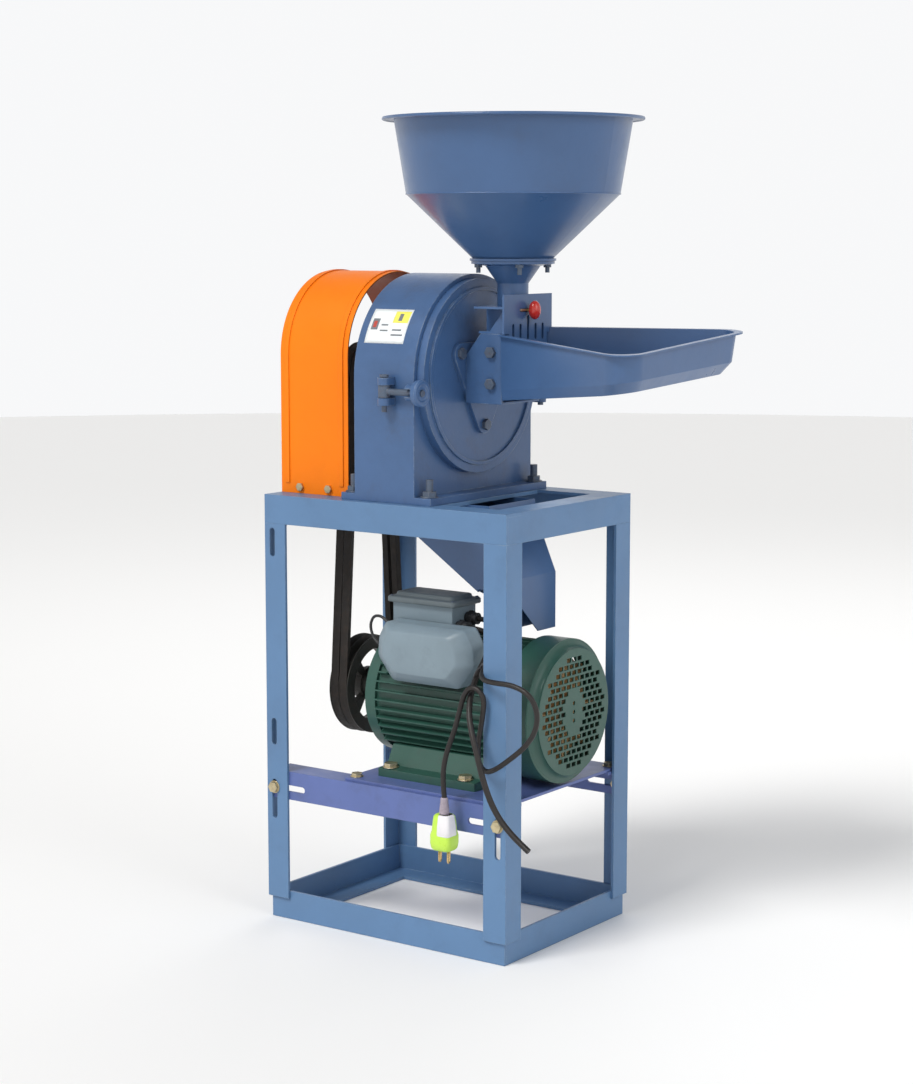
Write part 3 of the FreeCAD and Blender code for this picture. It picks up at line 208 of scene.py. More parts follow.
def edge_mask(tree, radius):
    """1 within about radius of a sharp edge, 0 on flats; also gives the rounded normal."""
    bevel = node(tree, "ShaderNodeBevel", samples=4, Radius=radius)
    surface = node(tree, "ShaderNodeNewGeometry")
    dot = node(tree, "ShaderNodeVectorMath", operation="DOT_PRODUCT")
    tree.links.new(bevel.outputs["Normal"], dot.inputs[0])
    tree.links.new(surface.outputs["Normal"], dot.inputs[1])
    return ramp(tree, dot.outputs["Value"], FLAT_DOT, SHARP_DOT), bevel.outputs["Normal"]


def inside_arch(tree, place, half, axis_height):
    """1 on surfaces nearer than half to an upright arch's middle line, 0 on those beyond it."""
    parts = node(tree, "ShaderNodeSeparateXYZ")
    tree.links.new(place, parts.inputs["Vector"])
    above = ramp(tree, parts.outputs["Z"], axis_height, axis_height + 1.0)  # 0 below the axis
    joined = node(tree, "ShaderNodeCombineXYZ")
    tree.links.new(parts.outputs["Y"], joined.inputs["Y"])
    tree.links.new(above, joined.inputs["Z"])
    reach = node(tree, "ShaderNodeVectorMath", operation="LENGTH")
    tree.links.new(joined.outputs["Vector"], reach.inputs[0])
    return ramp(tree, reach.outputs["Value"], half + ARCH_EDGE, half - ARCH_EDGE)


def surface(name, colour, rough=0.4, metal=0.0, vary=0.16, patch=7.0, grain=260.0, bump=0.15,
            bump_depth=0.0004, lumps=0.0, edge=0.0012, wear=0.35, wear_colour=None, dirt=0.0,
            dirt_colour=(0.05, 0.045, 0.04), coat=0.0, rough_vary=0.12, inner_shade=None, specular=0.5):
    """A worn, slightly uneven surface: patches and grime in colour, mottled gloss, grain and lumps.

    patch and grain are the noise scales of the colour and of the relief, and edge is the width of
    worn edges.  inner_shade is (half width, axis height, colour) for painted shade inside an arched sheet.
    """
    material, tree, shader = new_material(name)
    coordinates = node(tree, "ShaderNodeTexCoord")
    place = coordinates.outputs["Object"]
    patches = ramp(tree, noise_field(tree, place, patch, 5.0), 0.3, 0.7)
    fine = ramp(tree, noise_field(tree, place, patch * 9, 6.0, 0.65), 0.35, 0.7)
    base = blend_colours(tree, patches, shade(colour, 1 - vary), shade(colour, 1 + vary * 0.8))
    base = blend_colours(tree, times(tree, fine, vary), base, shade(colour, 1.35))
    if dirt:
        grime = ramp(tree, noise_field(tree, place, patch * 2.7, 8.0, 0.7), 0.52, 0.78)
        base = blend_colours(tree, times(tree, grime, dirt), base, dirt_colour)
    # painted shade: the inside of the arch gets a darker, mottled colour where its shadow falls
    if inner_shade:
        half, axis_height, inner_shade_colour = inner_shade
        mottled = blend_colours(tree, patches, shade(inner_shade_colour, 0.75), shade(inner_shade_colour, 1.3))
        base = blend_colours(tree, inside_arch(tree, place, half, axis_height), base, mottled)
    edges, soft_normal = edge_mask(tree, edge)
    if wear:
        worn = wear_colour or shade(colour, 1.6)
        broken = ramp(tree, noise_field(tree, place, 55.0, 6.0, 0.7), 0.42, 0.62)
        amount = times(tree, times(tree, edges, broken), wear)
        base = blend_colours(tree, amount, base, worn)
    tree.links.new(base, shader.inputs["Base Color"])
    gloss = ramp(tree, noise_field(tree, place, patch * 4, 6.0, 0.7), 0.3, 0.7,
                 rough - rough_vary / 2, rough + rough_vary)
    tree.links.new(gloss, shader.inputs["Roughness"])
    shader.inputs["Metallic"].default_value = metal
    shader.inputs["Specular IOR Level"].default_value = specular
    shader.inputs["Coat Weight"].default_value = coat
    shader.inputs["Coat Roughness"].default_value = COAT_ROUGHNESS
    relief = node(tree, "ShaderNodeBump", Strength=bump, Distance=bump_depth)
    tree.links.new(noise_field(tree, place, grain, 3.0), relief.inputs["Height"])
    tree.links.new(soft_normal, relief.inputs["Normal"])
    normal = relief.outputs["Normal"]
    if lumps:
        swell = node(tree, "ShaderNodeBump", Strength=lumps, Distance=LUMP_HEIGHT)
        tree.links.new(noise_field(tree, place, grain * 0.13, 2.0), swell.inputs["Height"])
        tree.links.new(normal, swell.inputs["Normal"])
        normal = swell.outputs["Normal"]
    tree.links.new(normal, shader.inputs["Normal"])
    return material


FRAME_BLUE = (0.098, 0.20, 0.365)
MILL_BLUE = (0.049, 0.112, 0.25)
ORANGE = (0.93, 0.205, 0.0015)
MOTOR_GREEN = (0.023, 0.086, 0.065)
RUST = (0.16, 0.06, 0.025)
BARE_METAL = (0.32, 0.33, 0.34)
# painted shade: a dark colour laid on the inside of the belt guard, where its shadow falls
GUARD_INNER_SHADE = (0.1141, 0.790, (0.26, 0.05, 0.012))


def make_materials():
    """Every material of the part, by the key that NODE_MATERIALS and the pieces use."""
    return {
        "frame": surface("frame_enamel", FRAME_BLUE, rough=0.42, vary=0.09, patch=5, bump=0.14, wear=0.55,
                         wear_colour=(0.36, 0.47, 0.58), dirt=0.25, dirt_colour=(0.05, 0.08, 0.14),
                         coat=0.12),
        "rails": surface("rail_enamel", (0.10, 0.145, 0.37), rough=0.4, vary=0.1, bump=0.14, wear=0.35,
                         wear_colour=BARE_METAL, dirt=0.3, coat=0.12),
        "casting": surface("cast_enamel", MILL_BLUE, rough=0.38, vary=0.14, patch=9, grain=190, bump=0.4,
                           bump_depth=0.0005, lumps=0.16, wear=0.7, wear_colour=(0.30, 0.37, 0.45),
                           dirt=0.3, coat=0.2, edge=0.002),
        "sheet": surface("sheet_enamel", MILL_BLUE, rough=0.33, vary=0.1, patch=4, grain=330, bump=0.12,
                         lumps=0.05, wear=0.45, wear_colour=shade(MILL_BLUE, 2.1), dirt=0.18, coat=0.25),
        "orange": surface("orange_enamel", ORANGE, rough=0.42, vary=0.07, patch=4, bump=0.1, wear=0.25,
                          wear_colour=(1.0, 0.42, 0.06), dirt=0.14, dirt_colour=(0.45, 0.09, 0.004),
                          coat=0.05, specular=0.2, inner_shade=GUARD_INNER_SHADE),
        "motor": surface("motor_enamel", MOTOR_GREEN, rough=0.4, vary=0.16, grain=240, bump=0.25,
                         wear=0.35, wear_colour=shade(MOTOR_GREEN, 2.4), dirt=0.35, coat=0.15),
        "zinc": surface("yellow_zinc", (0.55, 0.47, 0.30), rough=0.34, metal=0.9, vary=0.3, patch=60,
                        bump=0.15, wear=0.5, wear_colour=(0.75, 0.73, 0.68), dirt=0.35, dirt_colour=RUST),
        "steel": surface("turned_steel", (0.55, 0.56, 0.57), rough=0.3, metal=1.0, vary=0.15, patch=40,
                         bump=0.1, wear=0.2, dirt=0.2),
        "cast_steel": surface("cast_steel", (0.2, 0.2, 0.2), rough=0.5, metal=0.8, vary=0.25, bump=0.4,
                              lumps=0.15, wear=0.6, wear_colour=(0.5, 0.5, 0.5), dirt=0.3, dirt_colour=RUST),
        "iron": surface("pulley_iron", (0.035, 0.034, 0.03), rough=0.45, metal=0.3, vary=0.3, bump=0.4,
                        lumps=0.1, wear=0.5, wear_colour=(0.16, 0.15, 0.13), dirt=0.3, dirt_colour=RUST),
        "belt": surface("belt_rubber", (0.016, 0.012, 0.009), rough=0.72, vary=0.3, patch=30, grain=700,
                        bump=0.5, wear=0.5, wear_colour=(0.06, 0.05, 0.045), dirt=0.2,
                        dirt_colour=(0.10, 0.05, 0.03)),
        "grey": surface("grey_plastic", (0.20, 0.265, 0.31), rough=0.42, vary=0.07, patch=14, grain=500,
                        bump=0.2, wear=0.2, dirt=0.18, coat=0.05),
        "lid": surface("lid_plastic", (0.125, 0.155, 0.17), rough=0.48, vary=0.08, patch=14, grain=500,
                       bump=0.25, wear=0.25, dirt=0.2),
        "black": surface("black_plastic", (0.022, 0.022, 0.024), rough=0.42, vary=0.2, patch=30,
                         bump=0.2, wear=0.3, wear_colour=(0.08, 0.08, 0.08)),
        "jacket": surface("cord_jacket", (0.011, 0.008, 0.007), rough=0.44, vary=0.25, patch=25, grain=600,
                          bump=0.25, edge=0.0005, wear=0.0, dirt=0.2, dirt_colour=(0.045, 0.03, 0.022)),
        "plain": surface("painted_steel", (0.09, 0.12, 0.17), rough=0.42, metal=0.35, vary=0.3, patch=60,
                         bump=0.25, wear=0.7, wear_colour=(0.34, 0.33, 0.3), dirt=0.5, dirt_colour=RUST),
        "tan": surface("tan_plastic", (0.62, 0.40, 0.19), rough=0.5, vary=0.15, patch=20, bump=0.2,
                       wear=0.2, dirt=0.3),
        "tie": surface("tie_plastic", (0.05, 0.05, 0.055), rough=0.5, vary=0.2, patch=60, bump=0.1,
                       edge=0.0004, wear=0.0),
        "relief": surface("relief_rubber", (0.42, 0.36, 0.42), rough=0.5, vary=0.1, patch=40, bump=0.2,
                          edge=0.0006, wear=0.2, dirt=0.2),
        "lime": surface("lime_plastic", (0.52, 0.80, 0.07), rough=0.3, vary=0.06, patch=30, bump=0.08,
                        wear=0.2, coat=0.3),
        "white": surface("white_plastic", (0.80, 0.78, 0.80), rough=0.32, vary=0.04, patch=30, bump=0.08,
                         wear=0.1, coat=0.3, dirt=0.1, dirt_colour=(0.5, 0.5, 0.45)),
        "brass": surface("pin_brass", (0.72, 0.50, 0.22), rough=0.25, metal=1.0, vary=0.15, patch=80,
                         bump=0.06, wear=0.3, dirt=0.15),
        "knob": surface("knob_red", (0.62, 0.03, 0.018), rough=0.22, vary=0.08, patch=40, bump=0.05,
                        wear=0.1, coat=0.5),
        "label_white": surface("label_white", (0.80, 0.84, 0.85), rough=0.45, vary=0.05, patch=40, bump=0.04,
                         edge=0.0004, wear=0.0, dirt=0.15, dirt_colour=(0.4, 0.45, 0.5)),
        "label_yellow": surface("label_yellow", (0.88, 0.80, 0.12), rough=0.45, vary=0.05, patch=40,
                                bump=0.04, edge=0.0004, wear=0.0, dirt=0.12, dirt_colour=(0.5, 0.4, 0.1)),
        "label_grey": surface("label_grey", (0.16, 0.18, 0.2), rough=0.5, vary=0.1, patch=40, bump=0.04,
                              edge=0.0004, wear=0.0),
        "label_red": surface("label_red", (0.45, 0.05, 0.03), rough=0.5, vary=0.1, patch=40, bump=0.04,
                             edge=0.0004, wear=0.0),
        "weld": surface("weld_paint", shade(FRAME_BLUE, 0.85), rough=0.4, vary=0.2, patch=60, bump=0.4,
                        wear=0.3, dirt=0.35, coat=0.1),
    }


NODE_MATERIALS = {
    "frame": ("base_frame", "legs", "top_frame"),
    "rails": ("motor_rails", "motor_plate"),
    "casting": ("mill_casing", "bearing_housing", "hinge_lugs", "clamp_lugs", "door", "inlet_flange",
                "inlet_duct", "hand_nut"),
    "sheet": ("feed_box", "hopper_neck", "hopper", "feed_tray", "discharge_chute"),
    "orange": ("belt_guard",),
    "motor": ("motor_body", "drive_end_bell", "fan_end_bell", "motor_feet", "fan_cover"),
    "zinc": ("rail_bolts", "guard_bolts", "motor_bolts", "gate_plate", "gate_lever", "rotor_nut"),
    "plain": ("foot_studs", "inlet_bolts", "hopper_bolts", "swing_bolt", "pivot_pins"),
    "steel": ("shaft_bearings", "motor_bearings", "mill_shaft", "motor_shaft"),
    "cast_steel": ("rotor_disc", "rotor_hammers", "fixed_teeth", "motor_core", "sieve_ring"),
    "iron": ("mill_pulley", "motor_pulley"),
    "belt": ("belt_inner", "belt_outer"),
    "grey": ("capacitor_cover", "terminal_box"),
    "lid": ("terminal_lid",),
    "black": ("cord_glands", "capacitor"),
    "tan": ("motor_fan",),
    "jacket": ("supply_cord", "spare_lead"),
    "relief": ("plug_relief",),
    "lime": ("plug_body",),
    "brass": ("plug_pins",),
    "knob": ("gate_knob",),
}


def dress_frame(materials):
    """Put the materials on the CAD's own pieces."""
    for key, names in NODE_MATERIALS.items():
        for name in names:
            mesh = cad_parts[name].data
            mesh.materials.clear()
            mesh.materials.append(materials[key])


# ---------------------------------------------------------------- mesh helpers

def mesh_from(name, build):
    """A mesh made by build, which fills a bmesh."""
    work = bmesh.new()
    build(work)
    bmesh.ops.recalc_face_normals(work, faces=work.faces)
    mesh = bpy.data.meshes.new(name)
    work.to_mesh(mesh)
    work.free()
    return mesh


def piece(name, build, material, body, smooth=True):
    """Put the mesh that build fills in the scene, riding on a body of the frame."""
    made = bpy.data.objects.new(name, mesh_from(name, build))
    bpy.context.scene.collection.objects.link(made)
    made.data.materials.append(material)
    if smooth:
        for face in made.data.polygons:
            face.use_smooth = True
    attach(made, body)
    return made


def skin_rings(work, rings, loop=False):
    """Quads between rings of points, with the two ends filled, or joined if it is a loop."""
    layers = [[work.verts.new(point) for point in ring] for ring in rings]
    pairs = list(zip(layers, layers[1:])) + ([(layers[-1], layers[0])] if loop else [])
    for low, high in pairs:
        count = len(low)
        for place in range(count):
            after = (place + 1) % count
            work.faces.new((low[place], low[after], high[after], high[place]))
    if not loop:
        work.faces.new(list(reversed(layers[0])))
        work.faces.new(layers[-1])


def circle_points(centre, axis_u, axis_v, radius, count):
    """Points round a circle in the plane of the two axes."""
    return [centre + axis_u * (radius * math.cos(2 * math.pi * step / count))
            + axis_v * (radius * math.sin(2 * math.pi * step / count)) for step in range(count)]


def rounded_rectangle(low_u, low_v, high_u, high_v, radius, steps=5):
    """Points (u, v) round a rectangle with round corners of that many steps."""
    corners = ((high_u - radius, high_v - radius, 0), (low_u + radius, high_v - radius, 90),
               (low_u + radius, low_v + radius, 180), (high_u - radius, low_v + radius, 270))
    points = []
    for u, v, start in corners:
        for step in range(steps + 1):
            turn = math.radians(start + 90 * step / steps)
            points.append((u + radius * math.cos(turn), v + radius * math.sin(turn)))
    return points


def swept(work, path, radius, sides=10, rough=0.0, loop=False):
    """A round bead along a path, with an uneven surface if rough."""
    ripple = 2.4
    rings = []
    for place, point in enumerate(path):
        if loop:
            along = path[(place + 1) % len(path)] - path[place - 1]
        else:
            along = path[min(place + 1, len(path) - 1)] - path[max(place - 1, 0)]
        along = along.normalized()
        side = along.cross(Vector((0, 0, 1)))
        if side.length < 0.1:  # the path is nearly upright there
            side = along.cross(Vector((1, 0, 0)))
        side = side.normalized()
        other = along.cross(side)
        size = radius * (1 + rough * (0.5 - random.random()) + rough * 0.5 * math.sin(place * ripple))
        rings.append(circle_points(point, side, other, size, sides))
    skin_rings(work, rings, loop=loop)


# ---------------------------------------------------------------- cords

# Routes from the gland to the free end, in millimetres.
SUPPLY_ROUTE = ((80, -40, 438), (101, -42, 438), (125, -57, 432), (143, -90, 412), (152, -128, 393),
                (168, -160, 384), (196, -174, 384), (228, -175, 385), (254, -174, 376),
                (266, -172, 354), (263, -171, 329), (247, -171, 306), (223, -172, 286),
                (200, -172, 269), (180, -167, 262), (166, -162, 274), (165, -160, 300),
                (171, -160, 329), (175, -160, 357), (165, -160, 370), (151, -160, 371),
                (141, -160, 358), (135, -161, 335), (129, -163, 311), (121, -166, 288),
                (116, -169, 266), (117, -173, 244), (121, -175, 222))
LEAD_ROUTE = ((80, -62, 428), (98, -62, 428), (121, -70, 423), (133, -92, 404), (138, -122, 383),
              (146, -150, 362), (156, -169, 340), (168, -180, 317), (181, -186, 291),
              (190, -188, 264), (204, -190, 233), (220, -191, 211), (236, -191, 196),
              (251, -190, 184), (265, -190, 175))
TIE_POINT = 4  # the place on the supply cord's route that the tie goes round


def cord_curve(name, route, diameter, material, node_name):
    """A smooth round cord along a route, standing in for the CAD's plain tube."""
    data = bpy.data.curves.new(name, "CURVE")
    data.dimensions = "3D"
    data.bevel_depth = diameter / 2
    data.bevel_resolution = 6
    data.use_fill_caps = True
    spline = data.splines.new("NURBS")
    spline.points.add(len(route) - 1)
    for point, place in zip(spline.points, route):
        point.co = (place[0] * MM, place[1] * MM, place[2] * MM, 1)
    spline.order_u = 3
    spline.use_endpoint_u = True
    spline.resolution_u = 10
    made = bpy.data.objects.new(name, data)
    bpy.context.scene.collection.objects.link(made)
    data.materials.append(material)
    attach(made, "frame")
    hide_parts(node_name)
    return made


def make_cords(materials):
    """Both cords, with the plug and the tie that the supply cord carries."""
    supply = cord_curve("supply_cord_line", SUPPLY_ROUTE, 0.007, materials["jacket"], "supply_cord")
    lead = cord_curve("spare_lead_line", LEAD_ROUTE, 0.008, materials["jacket"], "spare_lead")
    plug = make_plug(materials)
    tie = make_tie(materials)


def make_tie(materials):
    """A thin plastic tie wound round the supply cord, with its tail."""
    before, centre, after = (Vector(point) * MM for point in SUPPLY_ROUTE[TIE_POINT - 1:TIE_POINT + 2])
    along = (after - before).normalized()
    side = along.cross(Vector((0, 0, 1))).normalized()
    other = along.cross(side)
    per_turn, steps = 18, 54
    half_width, wrap_radius, thickness = 0.0034, 0.0046, 0.00095
    tail_steps, tail_stride, tail_sag = 8, 0.0012, 0.00022

    def build(work):
        path = []
        for step in range(steps + 1):
            turn = 2 * math.pi * step / per_turn
            path.append(centre + along * (half_width * (2 * step / steps - 1))
                        + side * (wrap_radius * math.cos(turn)) + other * (wrap_radius * math.sin(turn)))
        tail = path[-1]
        for step in range(1, tail_steps + 1):
            path.append(tail + side * (tail_stride * step) + Vector((0, 0, -tail_sag * step * step)))
        swept(work, path, thickness, sides=8)

    return piece("cord_tie", build, materials["tie"], "frame")


def make_plug(materials):
    """A moulded plug: a lime shell, a pale cover, flat pins and a ribbed relief."""
    low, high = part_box("plug_body")
    centre = (low + high) / 2
    wide, deep = (high.x - low.x) / 2, (high.y - low.y) / 2

    def shell(work):
        stations = ((0.0, 0.80), (0.06, 0.93), (0.2, 1.0), (0.42, 1.0), (0.55, 0.9), (0.8, 0.84),
                    (0.95, 0.78), (1.0, 0.66))
        rings = []
        for along, scale in stations:
            height = low.z + (high.z - low.z) * along
            rings.append([Vector((u, v, height)) for u, v in rounded_rectangle(
                centre.x - wide * scale, centre.y - deep * scale, centre.x + wide * scale,
                centre.y + deep * scale, 0.006)])
        skin_rings(work, rings)

    body = piece("plug_shell", shell, materials["lime"], "frame")
    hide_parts("plug_body")

    def cover(work):
        rings = []
        for along, scale in ((0.40, 0.95), (0.44, 1.03), (0.7, 0.97), (0.96, 0.86), (1.0, 0.78)):
            height = low.z + (high.z - low.z) * along
            half_x, half_y = wide * scale, deep * scale
            rings.append([Vector((u, v, height)) for u, v in rounded_rectangle(
                centre.x - half_x * 0.3, centre.y - half_y, centre.x + half_x * 0.98,
                centre.y + half_y * 0.6, 0.005)])
        skin_rings(work, rings)

    front = piece("plug_cover", cover, materials["white"], "frame")

    pin_low, pin_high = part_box("plug_pins")
    pin_inset, pin_root = 0.001, 0.002

    def pins(work):
        for middle in (pin_low.x + pin_inset, pin_high.x - pin_inset):
            rings = []
            for along, scale in ((1.0, 1.0), (0.15, 1.0), (0.04, 0.8), (0.0, 0.45)):
                height = pin_low.z + (pin_high.z + pin_root - pin_low.z) * along
                thin, broad = 0.00095 * scale, 0.0032 * scale
                rings.append([Vector((u, v, height)) for u, v in rounded_rectangle(
                    middle - thin, centre.y - broad, middle + thin, centre.y + broad, 0.0004, 2)])
            skin_rings(work, rings)

    blades = piece("plug_blades", pins, materials["brass"], "frame")
    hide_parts("plug_pins")

    relief_low, relief_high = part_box("plug_relief")
    middle_x, middle_y = (relief_low.x + relief_high.x) / 2, (relief_low.y + relief_high.y) / 2

    def relief(work):
        steps, plain_end = 44, 2
        root_radius, taper, rib_height, groove_depth = 0.0068, 0.0024, 0.0005, 0.0004
        rings = []
        for step in range(steps + 1):
            along = step / steps
            rib = rib_height if (step // 2) % 2 == 0 else -groove_depth
            radius = root_radius - taper * along + (rib if plain_end < step < steps - plain_end else 0)
            height = relief_low.z + (relief_high.z - relief_low.z) * along
            rings.append(circle_points(Vector((middle_x, middle_y, height)), Vector((1, 0, 0)),
                                       Vector((0, 1, 0)), radius, 24))
        skin_rings(work, rings)

    sleeve = piece("plug_sleeve", relief, materials["relief"], "frame")
    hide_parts("plug_relief")
    return [body, front, blades, sleeve]


# ---------------------------------------------------------------- motor covers

def rounded_outline(corners, radius):
    """Round every corner of a closed outline of (u, v) points with a short curve.

    A curve takes at most a certain share of the sides beside it, so that two never meet.
    """
    steps, most = 6, 0.45
    points = []
    count = len(corners)
    for place, corner in enumerate(corners):
        here = Vector(corner)
        before = Vector(corners[place - 1]) - here
        after = Vector(corners[(place + 1) % count]) - here
        first = here + before.normalized() * min(radius, before.length * most)
        last = here + after.normalized() * min(radius, after.length * most)
        for step in range(steps + 1):
            share = step / steps
            points.append(first * (1 - share) ** 2 + here * (2 * share * (1 - share))
                          + last * share ** 2)
    return points


def make_capacitor_cover(materials):
    """A moulded cover with soft corners and a raised front, hollow at the back.

    Its outlines are (x, z) in millimetres.  Each ring lies a share of the way from the outer
    outline to the front one, is scaled about the middle, and stands at that y.
    """
    outer = ((-28, 434), (104, 434), (118, 412), (121, 385),
             (96, 352), (-16, 352), (-42, 385), (-40, 412))
    front = ((-12, 424), (88, 424), (100, 408), (102, 386),
             (84, 366), (-4, 366), (-24, 386), (-22, 408))
    middle = Vector((40, 393))
    corner_radius = 6

    def ring(share, grow, back):
        corners = [Vector(a) * (1 - share) + Vector(b) * share for a, b in zip(outer, front)]
        corners = [middle + (corner - middle) * grow for corner in corners]
        return [Vector((point.x * MM, back * MM, point.y * MM))
                for point in rounded_outline(corners, corner_radius)]

    def build(work):
        stations = ((0.0, 0.955, -103), (0.0, 0.955, -78), (0.0, 1.0, -78), (0.0, 1.0, -82),
                    (0.0, 0.99, -83), (0.0, 0.99, -104.5), (0.05, 0.988, -107), (0.5, 0.99, -113.6),
                    (0.93, 0.99, -119.9), (1.0, 0.97, -121.2), (1.0, 0.93, -121.8), (1.0, 0.4, -122))
        skin_rings(work, [ring(share, grow, back) for share, grow, back in stations])

    cover = piece("capacitor_shell", build, materials["grey"], "frame")
    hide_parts("capacitor_cover")


def make_terminal_lid(materials):
    """A shallow lid with a raised, softly rounded panel and four sunk screws.

    Its stations are half the length, half the width, the rise and the corner radius, in millimetres.
    """
    low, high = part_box("terminal_lid")
    middle = (low + high) / 2
    screw_x, screw_y = 51.5, 28.5

    def build(work):
        stations = ((56.0, 33.0, 0.0, 5), (57.0, 34.0, 1.0, 6), (57.0, 34.0, 6.2, 6), (55.8, 32.8, 7.7, 6),
                    (54.5, 31.5, 8.0, 6), (49.5, 26.5, 8.2, 5), (48.4, 25.4, 9.4, 5), (47.6, 24.6, 12.6, 5),
                    (46.2, 23.2, 13.7, 5), (44.0, 21.0, 14.0, 5))
        rings = []
        for half_x, half_y, rise, radius in stations:
            outline = rounded_rectangle(middle.x - half_x * MM, middle.y - half_y * MM,
                                        middle.x + half_x * MM, middle.y + half_y * MM, radius * MM)
            rings.append([Vector((u, v, low.z + rise * MM)) for u, v in outline])
        skin_rings(work, rings)

    lid = piece("terminal_cap", build, materials["lid"], "frame")
    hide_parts("terminal_lid")

    def screws(work):
        for side_x in (-1, 1):
            for side_y in (-1, 1):
                centre = Vector((middle.x + side_x * screw_x * MM, middle.y + side_y * screw_y * MM, low.z))
                rings = []
                for radius, rise in ((2.6, 7.0), (2.6, 8.6), (2.1, 9.3), (1.1, 9.5), (0.8, 8.8)):
                    rings.append(circle_points(centre + Vector((0, 0, rise * MM)), Vector((1, 0, 0)),
                                               Vector((0, 1, 0)), radius * MM, 18))
                skin_rings(work, rings)

    piece("lid_screws", screws, materials["plain"], "frame")


# ---------------------------------------------------------------- mill and hopper details

HOPPER_AXIS = Vector((0.108, 0, 0))
# The seam's radius and height at the top of the drum, at the fold, and at the foot of the cone.
HOPPER_TOP, HOPPER_FOLD, HOPPER_FOOT = (0.1592, 1.106), (0.1432, 1.009), (0.056, 0.927)


def make_hopper_beads(materials):
    """The rolled rim, the folded edge between drum and cone, and the lengthwise seam."""
    rim_bead, fold_bead, seam_bead = 0.0021, 0.0011, 0.0017
    seam_turn = math.radians(118)

    def ring_path(radius, height):
        count = 120
        return [HOPPER_AXIS + Vector((radius * math.cos(turn), radius * math.sin(turn), height))
                for turn in (2 * math.pi * step / count for step in range(count))]

    def build(work):
        swept(work, ring_path(0.1728, 1.1078), rim_bead, loop=True)
        swept(work, ring_path(0.1428, 1.0092), fold_bead, sides=8, loop=True)

    piece("hopper_rim", build, materials["sheet"], "door")

    def seam(work):
        outward = Vector((math.cos(seam_turn), math.sin(seam_turn), 0))
        steps, fold_share = 60, 0.55
        path = []
        for step in range(steps + 1):
            share = step / steps
            if share < fold_share:
                inner, start, end = share / fold_share, HOPPER_TOP, HOPPER_FOLD
            else:
                inner, start, end = (share - fold_share) / (1 - fold_share), HOPPER_FOLD, HOPPER_FOOT
            radius, height = (a + (b - a) * inner for a, b in zip(start, end))
            path.append(HOPPER_AXIS + outward * radius + Vector((0, 0, height)))
        swept(work, path, seam_bead, sides=8, rough=0.35)

    piece("hopper_seam", seam, materials["sheet"], "door")


CASING_RADIUS = 138  # millimetres
CASING_AXIS_HEIGHT = 0.765


def label_block(work, start, end, low, high, rise):
    """A thin block on the curve of the casing, from start to end along x and low to high in turn."""
    columns, rows, foot = 12, 10, 0.02
    layers = []
    for lift in (foot, rise):
        layer = []
        for row in range(rows + 1):
            turn = math.radians(low + (high - low) * row / rows)
            radius = (CASING_RADIUS + lift) * MM
            layer.append([work.verts.new((
                (start + (end - start) * column / columns) * MM, -radius * math.cos(turn),
                CASING_AXIS_HEIGHT + radius * math.sin(turn))) for column in range(columns + 1)])
        layers.append(layer)
    for layer in layers:
        for row in range(rows):
            for column in range(columns):
                work.faces.new((layer[row][column], layer[row][column + 1],
                                layer[row + 1][column + 1], layer[row + 1][column]))
    bottom, upper = layers
    edge = [(0, column) for column in range(columns + 1)]
    edge += [(row, columns) for row in range(1, rows + 1)]
    edge += [(rows, column) for column in range(columns - 1, -1, -1)]
    edge += [(row, 0) for row in range(rows - 1, 0, -1)]
    for (row_a, column_a), (row_b, column_b) in zip(edge, edge[1:] + edge[:1]):
        work.faces.new((bottom[row_a][column_a], bottom[row_b][column_b],
                        upper[row_b][column_b], upper[row_a][column_a]))


def make_label(materials):
    """A plain sticker of colour blocks, with no words or symbols.

    Each block has its name and material, its ends along x and its height in millimetres, and
    its lower and upper turn round the casing in degrees.
    """
    blocks = (("label_base", "label_white", -44, 21, 20.0, 41.5, 0.25),
              ("label_band", "label_yellow", -6, 19, 32.5, 40.0, 0.4),
              ("label_left", "label_grey", -39, -28, 28.0, 35.0, 0.4),
              ("label_right", "label_red", -36.5, -31, 29.4, 33.4, 0.5),
              ("label_mark", "label_grey", 2, 8, 33.8, 38.4, 0.5),
              ("label_line", "label_grey", -23, -12, 30.6, 31.5, 0.4),
              ("label_line_low", "label_grey", -23, -10, 27.2, 28.0, 0.4),
              ("label_foot", "label_grey", -3, 16, 24.6, 25.5, 0.4),
              ("label_foot_low", "label_grey", -3, 12, 27.6, 28.5, 0.4))
    for name, material, start, end, low, high, rise in blocks:
        build = partial(label_block, start=start, end=end, low=low, high=high, rise=rise)
        piece(name, build, materials[material], "frame")


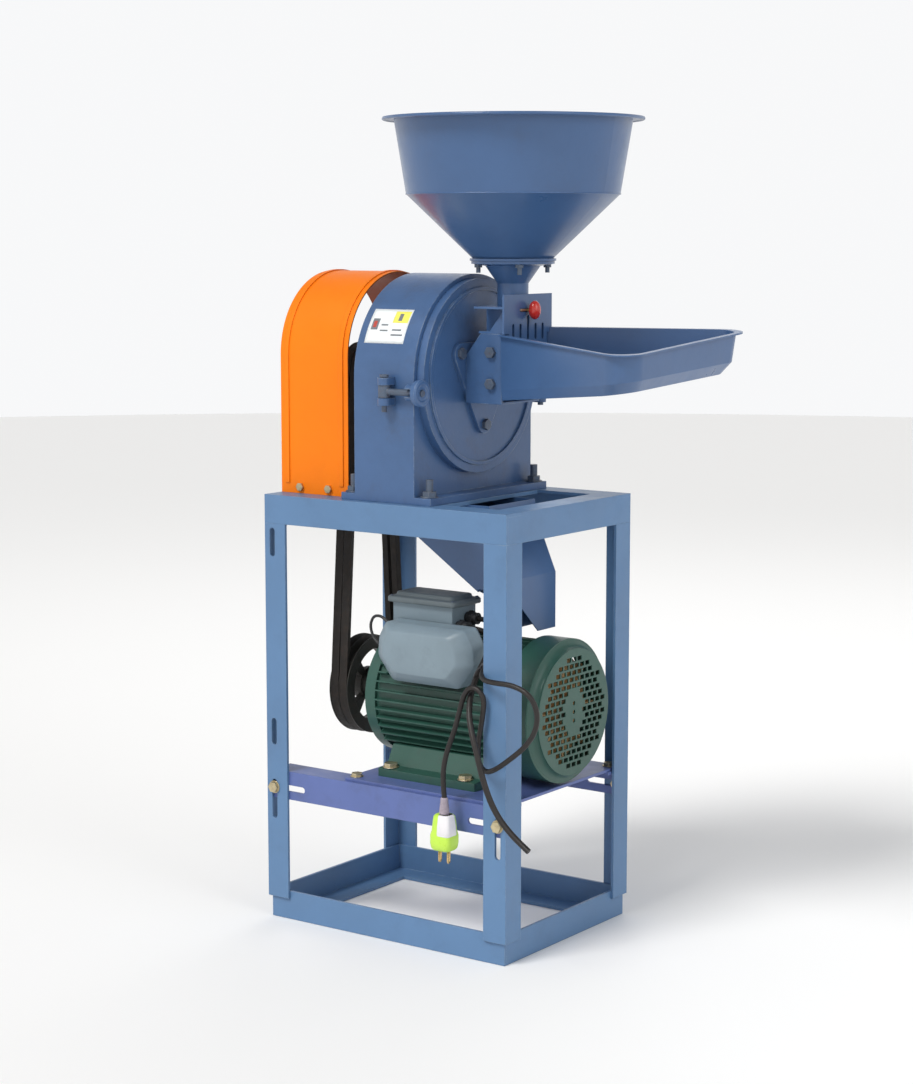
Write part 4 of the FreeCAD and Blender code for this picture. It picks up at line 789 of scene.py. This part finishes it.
def make_welds(materials):
    """Short weld beads where the legs meet the base and the top of the stand."""
    half_x, half_y, leg = 0.203, 0.1515, 0.036
    steps, bead, jitter = 18, 0.0021, 0.0002

    def build(work):
        for side_x in (-1, 1):
            for side_y in (-1, 1):
                for height, inner in ((0.0305, 0.0042), (0.5602, 0.0044)):
                    outer_x, outer_y = side_x * (half_x - inner), side_y * (half_y - inner)
                    corner = Vector((outer_x, outer_y, height))
                    for start, end in ((Vector((side_x * (half_x - leg), outer_y, height)), corner),
                                       (corner, Vector((outer_x, side_y * (half_y - leg), height)))):
                        path = [start.lerp(end, step / steps)
                                + Vector((0, 0, random.uniform(-jitter, jitter)))
                                for step in range(steps + 1)]
                        swept(work, path, bead, sides=9, rough=0.45)

    piece("weld_beads", build, materials["weld"], "frame")


def washer_set(work, places, radius, thickness):
    """A flat washer with eased rims at each centre, along its axis, in millimetres."""
    profile = ((0.5, 0.0), (0.97, 0.0), (1.0, 0.25), (1.0, 0.75), (0.96, 1.0), (0.5, 1.0))
    for centre, axis in places:
        side = axis.orthogonal().normalized()
        skin_rings(work, [circle_points((centre + axis * (thickness * rise)) * MM, side,
                                        axis.cross(side), radius * share * MM, 36)
                          for share, rise in profile], loop=True)


def make_washers(materials):
    """The washers under the nuts and heads of the stand, the motor and the mill, in millimetres."""
    up, front, back = Vector((0, 0, 1)), Vector((0, -1, 0)), Vector((0, 1, 0))
    stand_bolts = [(Vector((x, -151.5, 188)), front) for x in (-190, 190)]
    stand_bolts += [(Vector((x, 151.5, 188)), back) for x in (-190, 190)]
    plate_bolts = [(Vector((x, y, 216)), up) for x in (-62, 186) for y in (-128, 128)]
    motor_bolts = [(Vector((x, y, 228)), up) for x in (-26, 100) for y in (-98, 98)]
    foot_nuts = [(Vector((x, y, 610)), up) for x in (60, -66.5) for y in (-124, 124)]
    sets = (("stand_washers", stand_bolts + plate_bolts, 9.0, 1.3, "zinc", "zinc_steel"),
            ("motor_washers", motor_bolts, 11.0, 1.6, "zinc", "zinc_steel"),
            ("foot_washers", foot_nuts, 11.8, 1.8, "plain", "plain_steel"))
    for name, places, radius, thickness, material, slot_name in sets:
        build = partial(washer_set, places=places, radius=radius, thickness=thickness)
        piece(name, build, materials[material], "frame", smooth=False)


# ---------------------------------------------------------------- assembly

add_camera()
MATERIALS = make_materials()
add_studio()
make_cords(MATERIALS)
dress_frame(MATERIALS)
make_capacitor_cover(MATERIALS)
make_terminal_lid(MATERIALS)
make_hopper_beads(MATERIALS)
make_label(MATERIALS)
make_welds(MATERIALS)
make_washers(MATERIALS)
